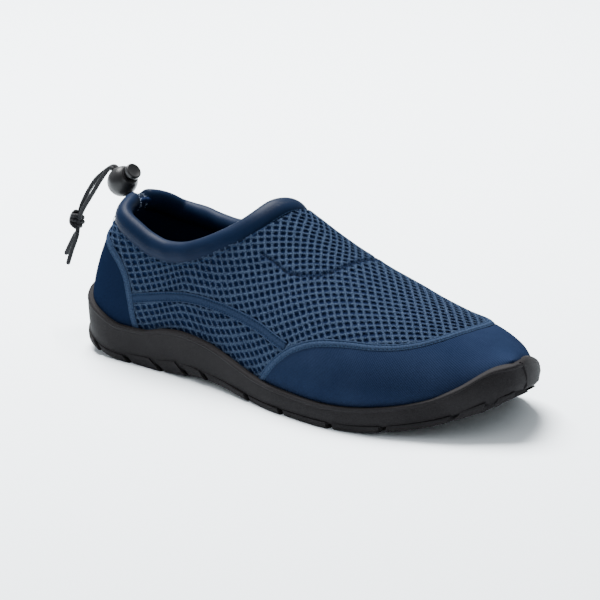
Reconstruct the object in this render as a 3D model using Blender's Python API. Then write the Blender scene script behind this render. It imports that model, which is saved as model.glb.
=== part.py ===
"""Water shoe, right foot: mesh upper on a cupped rubber outsole, with a drawcord at the collar.

Metres. +X runs to the toe, +Y to the big-toe side, +Z up. The origin is on the floor under the heel.
"""
import math
from collections import namedtuple
from functools import lru_cache

import bmesh
import bpy
from mathutils import Vector

# The last, heel back to toe tip
LAST_LENGTH = 0.284
BALL_WIDTH = 0.100
INSTEP_HEIGHT = 0.071
FOOTBED_HEIGHT = 0.0105
HEEL_CENTRE = 0.052
HEEL_ROUND = 0.0322
HEEL_POWER = 2.15
OUTER_TOE_SWEEP = 0.077
INNER_TOE_SWEEP = 0.044
TOE_POWER = 1.92
TOE_TIP_SHIFT = -0.0017
HEEL_LEAN = 0.020
HEEL_TUCK = 0.0039
LEAN_START = 0.024
LEAN_RISE = 0.045
LEAN_REACH = 0.095
FEATHER_TUCK = 0.05
FEATHER_REACH = 0.22
THROAT = 0.133
NOSE_START = 0.97
NOSE_QUARTER = 0.6
NOSE_FACING = Vector((0.8, 0.0, 0.6))
NOSE_THIN = 0.5

# Cloth: the upper's wall lies under the last's surface by the depth of its net
NET = 0.0010
WALL = 0.0018
GAP = 0.0003
OVERLAY_GAP = 0.0004
FOOT_GAP = 0.014
PANEL = 0.0010
TAPE_WIDTH = 0.0044
TAPE_THICKNESS = 0.0014
COLLAR_HEIGHT = 0.0120
COLLAR_WIDTH = 0.0090
COLLAR_PROUD = 0.0016
NOTCH_WIDTH = 0.0076
INSOLE = 0.0040

# Outsole
RAND_HEIGHT = 0.020
RAND = 0.0036
RAND_LIP = 0.0022
LIP_PROUD = 0.0007
TOE_SPRING = 0.0165
TREAD = 0.0024
LUG_PROUD = 0.0010
GROOVE = 0.0034
BUMPER_PROUD = 0.0004
BEVEL_WIDTH = 0.0078
BEVEL_RISE = 0.0044
BUMPER_RISE = 0.0030

# Drawcord and its lock
CORD = 0.0023
LOCK_CENTRE = Vector((-0.0420, 0.0, 0.0826))
LOCK_LEAN = 52.0
LOCK_WIDTH = 0.0160
LOCK_HEIGHT = 0.0150
BUTTON_WIDTH = 0.0086
BUTTON_RISE = 0.0046
KNOT_CENTRE = Vector((-0.0776, 0.0, 0.0566))

OUTER, INNER = -1, 1
SIDES = (OUTER, INNER)
REAR_STATIONS = 16
FRONT_STATIONS = 17
UPPER_ROWS = 6
LUG_SHARES = (0.0, 0.33, 0.67, 1.0)
HEEL_SHARES = (0.0, 0.04, 0.14, 0.30, 0.52, 0.76, 1.0)
TOE_SHARES = (0.0, 0.45, 0.85, 1.0)
TINY = 1e-6

# Widths are shares of the ball width, ridge of the instep height and base of the footbed height.
Section = namedtuple("Section", "along outer inner base ridge shift swell")
SECTIONS = [
    Section(0.00, 0.315, 0.307, 1.51, 1.655, 0.000, 0.00),
    Section(0.08, 0.322, 0.316, 1.42, 1.634, 0.003, 0.00),
    Section(0.18, 0.324, 0.317, 1.32, 1.585, 0.004, 0.00),
    Section(0.30, 0.337, 0.309, 1.23, 1.435, 0.012, 0.00),
    Section(0.40, 0.370, 0.333, 1.13, 1.198, 0.038, 0.00),
    Section(0.50, 0.428, 0.390, 1.04, 1.001, 0.053, -0.01),
    Section(0.60, 0.483, 0.449, 0.99, 0.810, 0.055, 0.02),
    Section(0.70, 0.507, 0.491, 1.04, 0.640, 0.056, 0.05),
    Section(0.80, 0.482, 0.494, 1.23, 0.500, 0.058, 0.05),
    Section(0.90, 0.413, 0.458, 1.51, 0.361, 0.068, 0.03),
    Section(0.95, 0.365, 0.420, 1.70, 0.290, 0.050, 0.03),
    Section(1.00, 0.316, 0.386, 1.90, 0.246, 0.000, 0.03),
]

# Top of the rand in rand heights and underside of the sole in toe springs
Sole = namedtuple("Sole", "along top under")
SOLE = [
    Sole(0.00, 1.64, 0.57), Sole(0.04, 1.40, 0.33), Sole(0.08, 1.19, 0.16),
    Sole(0.14, 0.94, 0.00), Sole(0.20, 0.96, 0.00), Sole(0.25, 1.12, 0.00),
    Sole(0.30, 1.19, 0.08), Sole(0.37, 1.13, 0.18), Sole(0.45, 0.92, 0.12),
    Sole(0.53, 0.70, 0.02), Sole(0.57, 0.65, 0.00), Sole(0.70, 0.59, 0.00),
    Sole(0.76, 0.62, 0.02), Sole(0.84, 0.76, 0.17), Sole(0.90, 0.97, 0.38),
    Sole(0.94, 1.27, 0.62), Sole(0.98, 1.70, 0.86), Sole(1.00, 1.80, 1.00),
]

# Bevel under the toe's edge on each side, as a share of its full size
Bevel = namedtuple("Bevel", "along outer inner")
BEVELS = [
    Bevel(0.00, 0.00, 0.00), Bevel(0.86, 0.00, 0.00), Bevel(0.90, 0.00, 0.55), Bevel(0.94, 0.00, 0.95),
    Bevel(0.985, 0.05, 1.00), Bevel(1.00, 0.60, 0.60),
]

# Collar from the throat (0) to the heel back (1): its edge's drop below the ridge in quarter turns, and
# the height of its roll in collar heights
Topline = namedtuple("Topline", "back outer inner roll_outer roll_inner")
TOPLINE = [
    Topline(0.000, 0.000, 0.000, 1.06, 1.06), Topline(0.100, 0.195, 0.205, 1.08, 1.08),
    Topline(0.210, 0.338, 0.352, 1.08, 1.06), Topline(0.335, 0.486, 0.488, 1.04, 1.04),
    Topline(0.446, 0.592, 0.590, 1.00, 1.00), Topline(0.547, 0.684, 0.672, 0.95, 0.95),
    Topline(0.637, 0.731, 0.722, 0.92, 0.90), Topline(0.735, 0.750, 0.745, 0.92, 0.82),
    Topline(0.862, 0.715, 0.756, 0.92, 0.74), Topline(0.940, 0.698, 0.732, 0.94, 0.82),
    Topline(1.000, 0.682, 0.682, 1.04, 1.04),
]

# Seams on the last, height in quarter turns from the feather edge (0) to the ridge (1)
Seam = namedtuple("Seam", "along quarter")
TOE_SEAM = [
    Seam(0.530, 0.000), Seam(0.557, 0.080), Seam(0.585, 0.166), Seam(0.623, 0.270),
    Seam(0.677, 0.378), Seam(0.733, 0.452), Seam(0.785, 0.500), Seam(0.825, 0.571),
    Seam(0.850, 0.680), Seam(0.864, 0.840), Seam(0.868, 1.000),
]
COUNTER_SEAM = [
    Seam(0.182, 0.000), Seam(0.170, 0.055), Seam(0.162, 0.110), Seam(0.148, 0.168), Seam(0.117, 0.216),
    Seam(0.065, 0.252), Seam(0.020, 0.266), Seam(0.004, 0.270), Seam(0.000, 0.271),
]
SIDE_SEAM = [
    Seam(0.165, 0.112), Seam(0.213, 0.135), Seam(0.265, 0.162), Seam(0.319, 0.189), Seam(0.371, 0.216),
    Seam(0.425, 0.239), Seam(0.479, 0.257), Seam(0.535, 0.267), Seam(0.604, 0.262),
]

# Lugs from heel to toe: rise of the side face in treads at rear and front, slant of the groove behind
Lug = namedtuple("Lug", "rear rise_rear rise_front slant")
LUGS = [
    Lug(0.000, 1.80, 1.80, 0.0), Lug(0.090, 1.90, 1.40, 1.2), Lug(0.168, 2.10, 2.35, 1.3),
    Lug(0.254, 2.30, 2.45, 1.5), Lug(0.322, 2.25, 1.60, 1.4), Lug(0.381, 1.75, 1.20, 1.3),
    Lug(0.512, 1.30, 1.20, 1.0), Lug(0.611, 1.25, 1.35, 0.6), Lug(0.731, 1.50, 1.35, 0.1),
    Lug(0.828, 1.35, 1.60, -0.3), Lug(0.930, 2.00, 2.20, -0.7), Lug(0.980, 2.30, 2.30, -0.3),
    Lug(1.000, 2.30, 2.30, 0.0),
]

# Rise of the toe bumper's top over the rand, in bumper rises, round the big-toe side of the tip
BUMPER_RISES = ((0.9965, 0.3), (0.992, 0.5), (0.985, 0.8), (0.975, 1.1), (0.963, 1.4), (0.950, 1.0))

# Cord routes, points chosen by hand, in metres
STRAND_A = [
    (-0.0305, 0.0026, 0.0772), (-0.0335, 0.0020, 0.0756), (-0.0362, 0.0015, 0.0757),
    (-0.0380, 0.00135, 0.0775), (-0.0420, 0.00135, 0.0826), (-0.0460, 0.00135, 0.0877),
    (-0.0486, 0.0015, 0.0892), (-0.0522, 0.0018, 0.0882), (-0.0580, 0.0021, 0.0846),
    (-0.0643, 0.0021, 0.0798), (-0.0696, 0.0020, 0.0737), (-0.0737, 0.0018, 0.0678),
    (-0.0762, 0.0016, 0.0632),
]
STRAND_B = [
    (-0.0305, -0.0026, 0.0772), (-0.0335, -0.0020, 0.0756), (-0.0362, -0.0015, 0.0757),
    (-0.0380, -0.00135, 0.0775), (-0.0420, -0.00135, 0.0826), (-0.0460, -0.00135, 0.0877),
    (-0.0487, -0.0016, 0.0890), (-0.0515, -0.0019, 0.0870), (-0.0567, -0.0021, 0.0811),
    (-0.0620, -0.0021, 0.0745), (-0.0674, -0.0018, 0.0682), (-0.0712, -0.0016, 0.0636),
]
KNOT_WRAPS = ((0.0028, 30, 20, 0.0022), (0.0012, -25, 10, 0.0026), (-0.0022, 15, -20, 0.0024))
TAIL_A = [
    (-0.0793, 0.0012, 0.0498), (-0.0815, 0.0014, 0.0476), (-0.0858, 0.0018, 0.0420),
    (-0.0905, 0.0022, 0.0352),
]
TAIL_B = [
    (-0.0768, -0.0013, 0.0496), (-0.0776, -0.0015, 0.0470), (-0.0809, -0.0019, 0.0400),
    (-0.0843, -0.0023, 0.0318),
]


def blend(xs, ys, at):
    """Value at a place on the curve through (xs, ys), which never overshoots its points."""
    at = min(max(at, xs[0]), xs[-1])
    last_span = len(xs) - 2
    k = max(i for i in range(last_span + 1) if at >= xs[i])
    steps = [(ys[i + 1] - ys[i]) / (xs[i + 1] - xs[i]) for i in range(last_span + 1)]

    def slope(i):
        before, after = steps[max(i - 1, 0)], steps[min(i, last_span)]
        return 2 * before * after / (before + after) if before * after > 0 else 0.0

    span = xs[k + 1] - xs[k]
    t = (at - xs[k]) / span
    ease = t * t * (3 - 2 * t)
    rise = t * (1 - t) * ((1 - t) * slope(k) - t * slope(k + 1)) * span
    return ys[k] + (ys[k + 1] - ys[k]) * ease + rise


def read(rows, column, at):
    """Value of a table's column at a place given in its first column."""
    return blend([row[0] for row in rows], [getattr(row, column) for row in rows], at)


@lru_cache(maxsize=None)
def section(along):
    """Sizes of the last's cross-section at a share of its length."""
    return Section(
        along,
        BALL_WIDTH * read(SECTIONS, "outer", along),
        BALL_WIDTH * read(SECTIONS, "inner", along),
        FOOTBED_HEIGHT * read(SECTIONS, "base", along),
        INSTEP_HEIGHT * read(SECTIONS, "ridge", along),
        BALL_WIDTH * read(SECTIONS, "shift", along),
        read(SECTIONS, "swell", along),
    )


def roundness(x, side):
    """Share of the side width left by the round heel and the swept toe, in plan."""
    heel = 1 - min(x / HEEL_ROUND, 1)
    sweep = OUTER_TOE_SWEEP if side == OUTER else INNER_TOE_SWEEP
    toe = min(max(x - LAST_LENGTH + sweep, 0) / sweep, 1)
    return ((1 - heel ** HEEL_POWER) ** (1 / HEEL_POWER)) * ((1 - toe ** TOE_POWER) ** (1 / TOE_POWER))


def last(along, side, quarter):
    """Point of the last at a share of the length and a share of the quarter turn up to its ridge."""
    along = min(max(along, 0.0), 1.0)
    shape = section(along)
    x = along * LAST_LENGTH
    turn = quarter * math.pi / 2
    width = (shape.outer if side == OUTER else shape.inner) * roundness(x, side)
    swell = 1 + shape.swell * math.sin(2 * turn) ** 2
    tuck = 1 - FEATHER_TUCK * max(0, 1 - quarter / FEATHER_REACH) ** 2
    middle = TOE_TIP_SHIFT * (max(along - 0.35, 0) / 0.65) ** 2
    y = (shape.shift * math.sin(turn) ** 2 + side * width * math.cos(turn) * swell) * tuck
    z = shape.base + shape.ridge * math.sin(turn) * swell
    lean = HEEL_LEAN * min(max(z - LEAN_START, 0) / LEAN_RISE, 2) ** 1.5
    tucked = HEEL_TUCK * (max(LEAN_START - z, 0) / LEAN_START) ** 2
    fade = max(1 - x / LEAN_REACH, 0) ** 2
    return Vector((x - HEEL_CENTRE + (lean + tucked) * fade, y + middle, z))


def nose(along, quarter):
    """Share of the way to the top of the narrow toe tip."""
    ahead = max(along - NOSE_START, 0) / (1 - NOSE_START)
    return min(ahead * max(quarter - NOSE_QUARTER, 0) / (1 - NOSE_QUARTER), 1)


def facing(along, side, quarter):
    """Outward direction of the last's surface, read across the heel, the toe and the ridge."""
    step, lift = 0.004, 0.012

    def near(a, s, q):
        if a < 0:
            a, s = -a, -s
        if a > 1:
            a, s = 2 - a, -s
        if q > 1:
            s, q = -s, 2 - q
        return last(a, s, q)

    length = near(along + step, side, quarter) - near(along - step, side, quarter)
    height = near(along, side, quarter + lift) - near(along, side, quarter - lift)
    out = (length.cross(height) * -side).normalized()
    return out.lerp(NOSE_FACING, nose(along, quarter)).normalized()


def quarter_at(along, z):
    """Quarter turn at which a cross-section reaches a height."""
    shape = section(along)
    sine = min(max((z - shape.base) / shape.ridge, 0), 1)
    return math.asin(sine) / (math.pi / 2)


def rand_top(along):
    return RAND_HEIGHT * read(SOLE, "top", along)


def underside(along):
    return TOE_SPRING * read(SOLE, "under", along)


def bevel(along, side):
    return read(BEVELS, "outer" if side == OUTER else "inner", along)


def wall(along, side, z, out):
    """Point of the sole's side, a distance out from the last's plan at that height."""
    spot = last(along, side, quarter_at(along, z))
    flat = facing(along, side, quarter_at(along, rand_top(along)))
    flat.z = 0
    spot += flat.normalized() * out
    spot.z = z
    return spot


THROAT_SHARE = THROAT / LAST_LENGTH
REAR = [THROAT_SHARE * (1 - math.cos(math.pi * i / REAR_STATIONS)) / 2 for i in range(REAR_STATIONS + 1)]
FRONT_STEPS = [i / FRONT_STATIONS for i in range(1, FRONT_STATIONS + 1)]
FRONT = [
    THROAT_SHARE + (1 - THROAT_SHARE) * (0.22 * t + 0.78 * math.sin(math.pi * t / 2)) for t in FRONT_STEPS
]
STATIONS = REAR + FRONT


def topline(along, side):
    """Quarter turn of the collar edge, and the ridge in front of the throat."""
    if along >= THROAT_SHARE - TINY:
        return 1.0
    back = math.sqrt(1 - along / THROAT_SHARE)
    return 1 - read(TOPLINE, "outer" if side == OUTER else "inner", back)


def panel_foot(along):
    """Quarter turn just over the rand, where the overlays start."""
    return quarter_at(along, rand_top(along)) + FOOT_GAP


def spread(low, high, count):
    return [low + (high - low) * i / count for i in range(count + 1)]


def upper_rows(along, side):
    rand = quarter_at(along, rand_top(along))
    return [0, rand / 2, rand] + spread(panel_foot(along), topline(along, side), UPPER_ROWS)


def rows_below(seam, along, side):
    """The upper's rows from the rand up to a seam, so that an overlay follows its facets."""
    ordered = sorted(seam)
    head = blend([row.along for row in ordered], [row.quarter for row in ordered], along)
    return [min(quarter, max(head, panel_foot(along))) for quarter in upper_rows(along, side)[3:]]


def seam_line(rows, side, per_row):
    """Places along a seam as (along, side, quarter), on a smooth line through its rows."""
    steps = list(range(len(rows)))
    line = []
    for i in range((len(rows) - 1) * per_row + 1):
        at = i / per_row
        along = blend(steps, [row.along for row in rows], at)
        line.append((along, side, blend(steps, [row.quarter for row in rows], at)))
    return line


def arch_line(rows, per_row):
    """A seam that runs up one side of the last and down the other."""
    there = seam_line(rows, OUTER, per_row)
    back = seam_line(rows, INNER, per_row)
    return there + back[-2::-1]


def solid(name, bm):
    """Object from a closed mesh, with its faces turned out."""
    bmesh.ops.recalc_face_normals(bm, faces=bm.faces)
    if bm.calc_volume(signed=True) < 0:
        bmesh.ops.reverse_faces(bm, faces=bm.faces)
    mesh = bpy.data.meshes.new(name)
    bm.to_mesh(mesh)
    bm.free()
    thing = bpy.data.objects.new(name, mesh)
    bpy.context.collection.objects.link(thing)
    return thing


def finish(thing, color, roughness, metallic=0.0, smooth_angle=40):
    """Give a sub-part its material and smooth shading."""
    material = bpy.data.materials.new(thing.name)
    material.use_nodes = True
    shader = material.node_tree.nodes["Principled BSDF"]
    shader.inputs["Base Color"].default_value = (*color, 1)
    shader.inputs["Roughness"].default_value = roughness
    shader.inputs["Metallic"].default_value = metallic
    thing.data.materials.append(material)
    if thing.type == "MESH":
        thing.data.shade_smooth()
        thing.data.set_sharp_from_angle(angle=math.radians(smooth_angle))
    return thing


def cutter(thing):
    """Keep a form only for cutting others."""
    thing.hide_render = True
    thing.display_type = "WIRE"
    return thing


def combine(thing, operation, *others):
    for other in others:
        modifier = thing.modifiers.new(other.name, "BOOLEAN")
        modifier.operation = operation
        modifier.solver = "EXACT"
        modifier.object = other


def shell(name, stations, rows, low, high):
    """Closed skin over both sides of the last, between two distances from its surface.

    It thins and faces forward on top of the toe tip, so that its layers don't cross there.
    """
    bm = bmesh.new()
    corners = {}

    def corner(along, side, quarter):
        shared = quarter > 1 - TINY or along < TINY or along > 1 - TINY
        key = (round(along, 6), 0 if shared else side, round(quarter, 6))
        if key not in corners:
            spot, out = last(along, side, quarter), facing(along, side, quarter)
            thin = 1 - NOSE_THIN * nose(along, quarter)
            corners[key] = (bm.verts.new(spot + out * high * thin), bm.verts.new(spot + out * low * thin))
        return corners[key]

    for side in SIDES:
        for a, b in zip(stations, stations[1:]):
            rows_a, rows_b = rows(a, side), rows(b, side)
            for j in range(len(rows_a) - 1):
                ring = [
                    corner(a, side, rows_a[j]), corner(b, side, rows_b[j]),
                    corner(b, side, rows_b[j + 1]), corner(a, side, rows_a[j + 1]),
                ]
                ring = [c for k, c in enumerate(ring) if c is not ring[k - 1]]
                if len(ring) > 2:
                    bm.faces.new([c[0] for c in ring])
                    bm.faces.new([c[1] for c in reversed(ring)])
    partner = dict(corners.values())
    for edge in [e for e in bm.edges if len(e.link_faces) == 1 and e.verts[0] in partner]:
        u, v = edge.verts
        bm.faces.new((u, v, partner[v], partner[u]))
    bmesh.ops.delete(bm, geom=[v for v in bm.verts if not v.link_faces], context="VERTS")
    return solid(name, bm)


def rings(name, stations, ring_points):
    """Closed body from rings of points on both sides of the last, which meet at heel back and toe tip."""
    bm = bmesh.new()
    grid = {}
    for i, along in enumerate(stations):
        tip = along < TINY or along > 1 - TINY
        for side in SIDES:
            for r, spot in enumerate(ring_points(along, side)):
                key = (i, 0 if tip else side, r)
                if key not in grid:
                    grid[key] = bm.verts.new(spot)
                grid[(i, side, r)] = grid[key]
    count = len(ring_points(stations[0], OUTER))

    def face(*keys):
        ring = [grid[key] for key in keys]
        ring = [v for k, v in enumerate(ring) if v is not ring[k - 1]]
        if len(ring) > 2:
            bm.faces.new(ring)

    for i in range(len(stations) - 1):
        for side in SIDES:
            for r in range(count - 1):
                face((i, side, r), (i + 1, side, r), (i + 1, side, r + 1), (i, side, r + 1))
        for r in (0, count - 1):
            face((i, OUTER, r), (i + 1, OUTER, r), (i + 1, INNER, r), (i, INNER, r))
    for i, along in ((0, stations[0]), (len(stations) - 1, stations[-1])):
        if TINY < along < 1 - TINY:
            face(*[(i, OUTER, r) for r in range(count)], *[(i, INNER, r) for r in reversed(range(count))])
    return solid(name, bm)


def skin(name, loops, closed=False):
    """Body through loops of points, as a bar with flat ends or as a closed ring."""
    bm = bmesh.new()
    rows = [[bm.verts.new(spot) for spot in loop] for loop in loops]
    pairs = list(zip(rows, rows[1:])) + ([(rows[-1], rows[0])] if closed else [])
    for a, b in pairs:
        for k in range(len(a)):
            bm.faces.new((a[k - 1], a[k], b[k], b[k - 1]))
    if not closed:
        bm.faces.new(rows[0])
        bm.faces.new(rows[-1])
    return solid(name, bm)


def tape(name, line, width, low, high):
    """Strip along a seam line, with its edges a little thinner than its middle."""
    spots = [last(*place) for place in line]
    loops = []
    for i, place in enumerate(line):
        out = facing(*place)
        ahead = spots[min(i + 1, len(spots) - 1)] - spots[max(i - 1, 0)]
        across = out.cross(ahead).normalized() * width / 2
        edge = high - (high - low) / 4
        loops.append([
            spots[i] - across + out * low, spots[i] + out * low, spots[i] + across + out * low,
            spots[i] + across + out * edge, spots[i] + out * high, spots[i] - across + out * edge,
        ])
    return skin(name, loops)


def lathe(name, profile, segments):
    """Turned body from a profile of (radius, height) that starts and ends on the axis."""
    bm = bmesh.new()
    verts = [bm.verts.new((radius, 0, height)) for radius, height in profile]
    edges = [bm.edges.new(pair) for pair in zip(verts, verts[1:])]
    bmesh.ops.spin(
        bm, geom=verts + edges, cent=(0, 0, 0), axis=(0, 0, 1), angle=2 * math.pi, steps=segments,
        use_merge=True, use_duplicate=False,
    )
    bmesh.ops.remove_doubles(bm, verts=bm.verts, dist=TINY)
    return solid(name, bm)


def cord(name, route, spacing=1.6):
    """Round cord on a smooth curve through its route's points."""
    points = [Vector(p) for p in route]
    ends = [points[0] * 2 - points[1]] + points + [points[-1] * 2 - points[-2]]
    path = [points[0]]
    for a, b, c, d in zip(ends, ends[1:], ends[2:], ends[3:]):
        count = max(1, round((c - b).length / (spacing * CORD)))
        for i in range(1, count + 1):
            t = i / count
            path.append(0.5 * (2 * b + (c - a) * t + (2 * a - 5 * b + 4 * c - d) * t * t
                               + (3 * b - a - 3 * c + d) * t ** 3))
    curve = bpy.data.curves.new(name, "CURVE")
    curve.dimensions = "3D"
    curve.bevel_depth = CORD / 2
    curve.bevel_resolution = 2
    curve.use_fill_caps = True
    spline = curve.splines.new("POLY")
    spline.points.add(len(path) - 1)
    for point, spot in zip(spline.points, path):
        point.co = (*spot, 1)
    thing = bpy.data.objects.new(name, curve)
    bpy.context.collection.objects.link(thing)
    return thing


def make_upper():
    """Hollow mesh upper, open at the collar and underneath."""
    return finish(shell("upper", STATIONS, upper_rows, -NET - WALL, -NET), (0.035, 0.075, 0.15), 0.8)


def make_insole():
    """Foam insole on the footbed, inside the upper's feather edge."""
    inset = -(NET + WALL + 3 * GAP)

    def points(along, side):
        base = section(along).base
        soft = inset - INSOLE / 8
        heights = [(0, soft), (INSOLE / 8, inset), (INSOLE * 7 / 8, inset), (INSOLE, soft)]
        result = []
        for rise, out in heights:
            spot = wall(along, side, base, out)
            spot.z = base + rise
            result.append(spot)
        return result

    stations = [0.0] + STATIONS[1:-1:2] + [1.0]
    return finish(rings("insole", stations, points), (0.02, 0.02, 0.022), 0.9)


def make_outsole():
    """Cupped rubber outsole: rand with a lip, cavity for the upper, lugs, side scales and toe bumper."""
    side_out = RAND - LIP_PROUD

    def body(along, side):
        under, top = underside(along) + TREAD, rand_top(along)
        rand = quarter_at(along, top)
        clear = 2.8 * GAP - NET
        turns = (rand, rand * 0.75, rand / 2)
        inside = [last(along, side, q) + facing(along, side, q) * clear for q in turns]
        foot = wall(along, side, section(along).base, GAP - NET)
        foot.z -= GAP
        cut = bevel(along, side)
        return [
            wall(along, side, under, side_out - TREAD - BEVEL_WIDTH * 0.6 * cut),
            wall(along, side, under, side_out - TREAD / 3 - BEVEL_WIDTH * 0.6 * cut),
            wall(along, side, under + TREAD / 2 + BEVEL_RISE * 0.6 * cut, side_out),
            wall(along, side, (under + top) / 2, side_out + LIP_PROUD / 2),
            wall(along, side, top - RAND_LIP, side_out),
            wall(along, side, top - RAND_LIP * 0.8, RAND),
            wall(along, side, top - RAND_LIP * 0.25, RAND),
            wall(along, side, top, RAND - RAND_LIP * 0.45),
            *inside,
            foot,
        ]

    def lug_form(lug, ahead):
        """One lug with its raised side faces, leaning at both ends as its grooves do."""
        inset = GROOVE / 2 / LAST_LENGTH
        low, high = lug.rear and lug.rear + inset, ahead.rear - inset if ahead.rear < 1 else 1.0

        def points(along, side):
            share, cut = (along - low) / (high - low), bevel(along, side)
            lift = TREAD / 4 + BEVEL_RISE * cut
            rise = max(TREAD * (lug.rise_rear + (lug.rise_front - lug.rise_rear) * share), lift + TREAD / 2)
            slant = lug.slant + (ahead.slant - lug.slant) * share
            out = side_out + LUG_PROUD * (0.25 + 0.75 * share if lug.rear > 0 else 1.0)
            root = min(rise + TREAD / 5, section(along).base - underside(along) - 3 * GAP)
            profile = (
                (0, out - TREAD / 4 - BEVEL_WIDTH * cut), (lift, out - TREAD / 4 * cut),
                (rise - TREAD / 5, out), (rise, out - TREAD / 5), (root, side_out - TREAD * 0.8),
            )
            return [
                wall(along - slant * height / LAST_LENGTH, side, underside(along) + height, distance)
                for height, distance in profile
            ]

        shares = HEEL_SHARES if lug.rear == 0 else TOE_SHARES if ahead.rear == 1 else LUG_SHARES
        return cutter(rings("lug_form", [low + (high - low) * share for share in shares], points))

    bumper = []
    for along, rise in BUMPER_RISES:
        low, top = underside(along) + TREAD / 2 + BEVEL_RISE, rand_top(along) + BUMPER_RISE * rise
        out = RAND + BUMPER_PROUD
        heights = (
            (low, RAND * 0.7), (low, out - BUMPER_PROUD / 2), (low + BUMPER_PROUD, out),
            (top - BUMPER_PROUD, out), (top, out - BUMPER_PROUD), (top, RAND * 0.7),
        )
        bumper.append([wall(along, INNER, z, distance) for z, distance in heights])

    sole = rings("outsole", STATIONS, body)
    combine(sole, "UNION", cutter(skin("bumper_form", bumper)))
    for lug, ahead in zip(LUGS, LUGS[1:]):
        combine(sole, "UNION", lug_form(lug, ahead))
    return finish(sole, (0.018, 0.018, 0.019), 0.55, smooth_angle=30)


def make_overlays():
    """Toe panel, heel counter and the woven tapes that cover their seams."""
    low = OVERLAY_GAP - NET
    high = low + TAPE_THICKNESS
    deep, tall = low - WALL, high + PANEL
    toe_line, counter_line = arch_line(TOE_SEAM, 2), arch_line(COUNTER_SEAM, 2)
    clear = TAPE_WIDTH + 2 * GAP

    def below_rand(along, side):
        return [-0.12, 0, panel_foot(along)]

    rand_form = cutter(shell("rand_form", STATIONS, below_rand, deep, RAND * 2))
    toe_form = cutter(tape("toe_tape_form", toe_line, clear, deep, tall))
    counter_form = cutter(tape("counter_tape_form", counter_line, clear, deep, tall))

    toe_edge = sorted(row.along for row in TOE_SEAM)
    toe_stations = sorted(toe_edge[1:] + [s for s in FRONT if s > toe_edge[1] + 0.004])
    counter_edge = [row.along for row in COUNTER_SEAM[3:0:-1]]
    counter_stations = [s for s in REAR if s < counter_edge[0] - 0.01] + counter_edge

    def toe_rows(along, side):
        return rows_below(TOE_SEAM, along, side)

    def counter_rows(along, side):
        return rows_below(COUNTER_SEAM, along, side)

    toe = shell("toe_panel", toe_stations, toe_rows, low, low + PANEL)
    combine(toe, "DIFFERENCE", toe_form)
    finish(toe, (0.020, 0.050, 0.115), 0.75)
    counter = shell("heel_counter", counter_stations, counter_rows, low, low + PANEL)
    combine(counter, "DIFFERENCE", counter_form)
    finish(counter, (0.020, 0.050, 0.115), 0.7)

    toe_tape = tape("toe_seam_tape", toe_line, TAPE_WIDTH, low, high)
    counter_tape = tape("counter_tape", counter_line, TAPE_WIDTH, low, high)
    side_tapes = [
        tape(name, seam_line(SIDE_SEAM, side, 2), TAPE_WIDTH, low, high)
        for name, side in (("side_tape_outer", OUTER), ("side_tape_inner", INNER))
    ]
    for strip in side_tapes:
        combine(strip, "DIFFERENCE", toe_form, counter_form)
    for strip in (toe_tape, counter_tape):
        combine(strip, "DIFFERENCE", rand_form)
    for strip in (toe_tape, counter_tape, *side_tapes):
        finish(strip, (0.045, 0.075, 0.14), 0.7)


def make_collar():
    """Padded roll round the opening, notched at the back where the drawcord comes out."""
    turns = spread(0, math.pi, 20)
    places = [(THROAT_SHARE * (1 - math.cos(turn)) / 2, OUTER) for turn in turns]
    places += [(along, INNER) for along, side in places[-2:0:-1]]
    line = [(along, side, topline(along, side)) for along, side in places]
    spots = [last(*place) for place in line]
    centre_out = COLLAR_PROUD - COLLAR_WIDTH / 2
    loops = []
    for i, place in enumerate(line):
        out = facing(*place)
        ahead = (spots[(i + 1) % len(spots)] - spots[i - 1]).normalized()
        up = out.cross(ahead).normalized()
        back = math.sqrt(max(1 - place[0] / THROAT_SHARE, 0))
        tall = COLLAR_HEIGHT * read(TOPLINE, "roll_outer" if place[1] == OUTER else "roll_inner", back)
        middle = spots[i] + up * (GAP + tall / 2) + out * centre_out
        loops.append([
            middle + up * (tall / 2 * math.sin(turn)) + out * (COLLAR_WIDTH / 2 * math.cos(turn))
            for turn in spread(0, 2 * math.pi, 11)[:-1]
        ])
    collar = skin("collar", loops, closed=True)

    heel = loops[0]
    top = max(spot.z for spot in heel)
    middle = sum(heel, Vector()) / len(heel)
    reach = COLLAR_WIDTH * 1.5
    arc = [math.pi * i / 8 for i in range(9)]
    outline = [(-NOTCH_WIDTH / 2 * math.cos(a), top - NOTCH_WIDTH / 2 * math.sin(a)) for a in arc]
    outline += [(NOTCH_WIDTH / 2, top + COLLAR_HEIGHT), (-NOTCH_WIDTH / 2, top + COLLAR_HEIGHT)]
    ends = (middle.x - reach, middle.x + reach)
    notch = skin("notch_form", [[Vector((x, y, z)) for y, z in outline] for x in ends])
    combine(collar, "DIFFERENCE", cutter(notch))
    return finish(collar, (0.015, 0.050, 0.125), 0.6)


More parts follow.
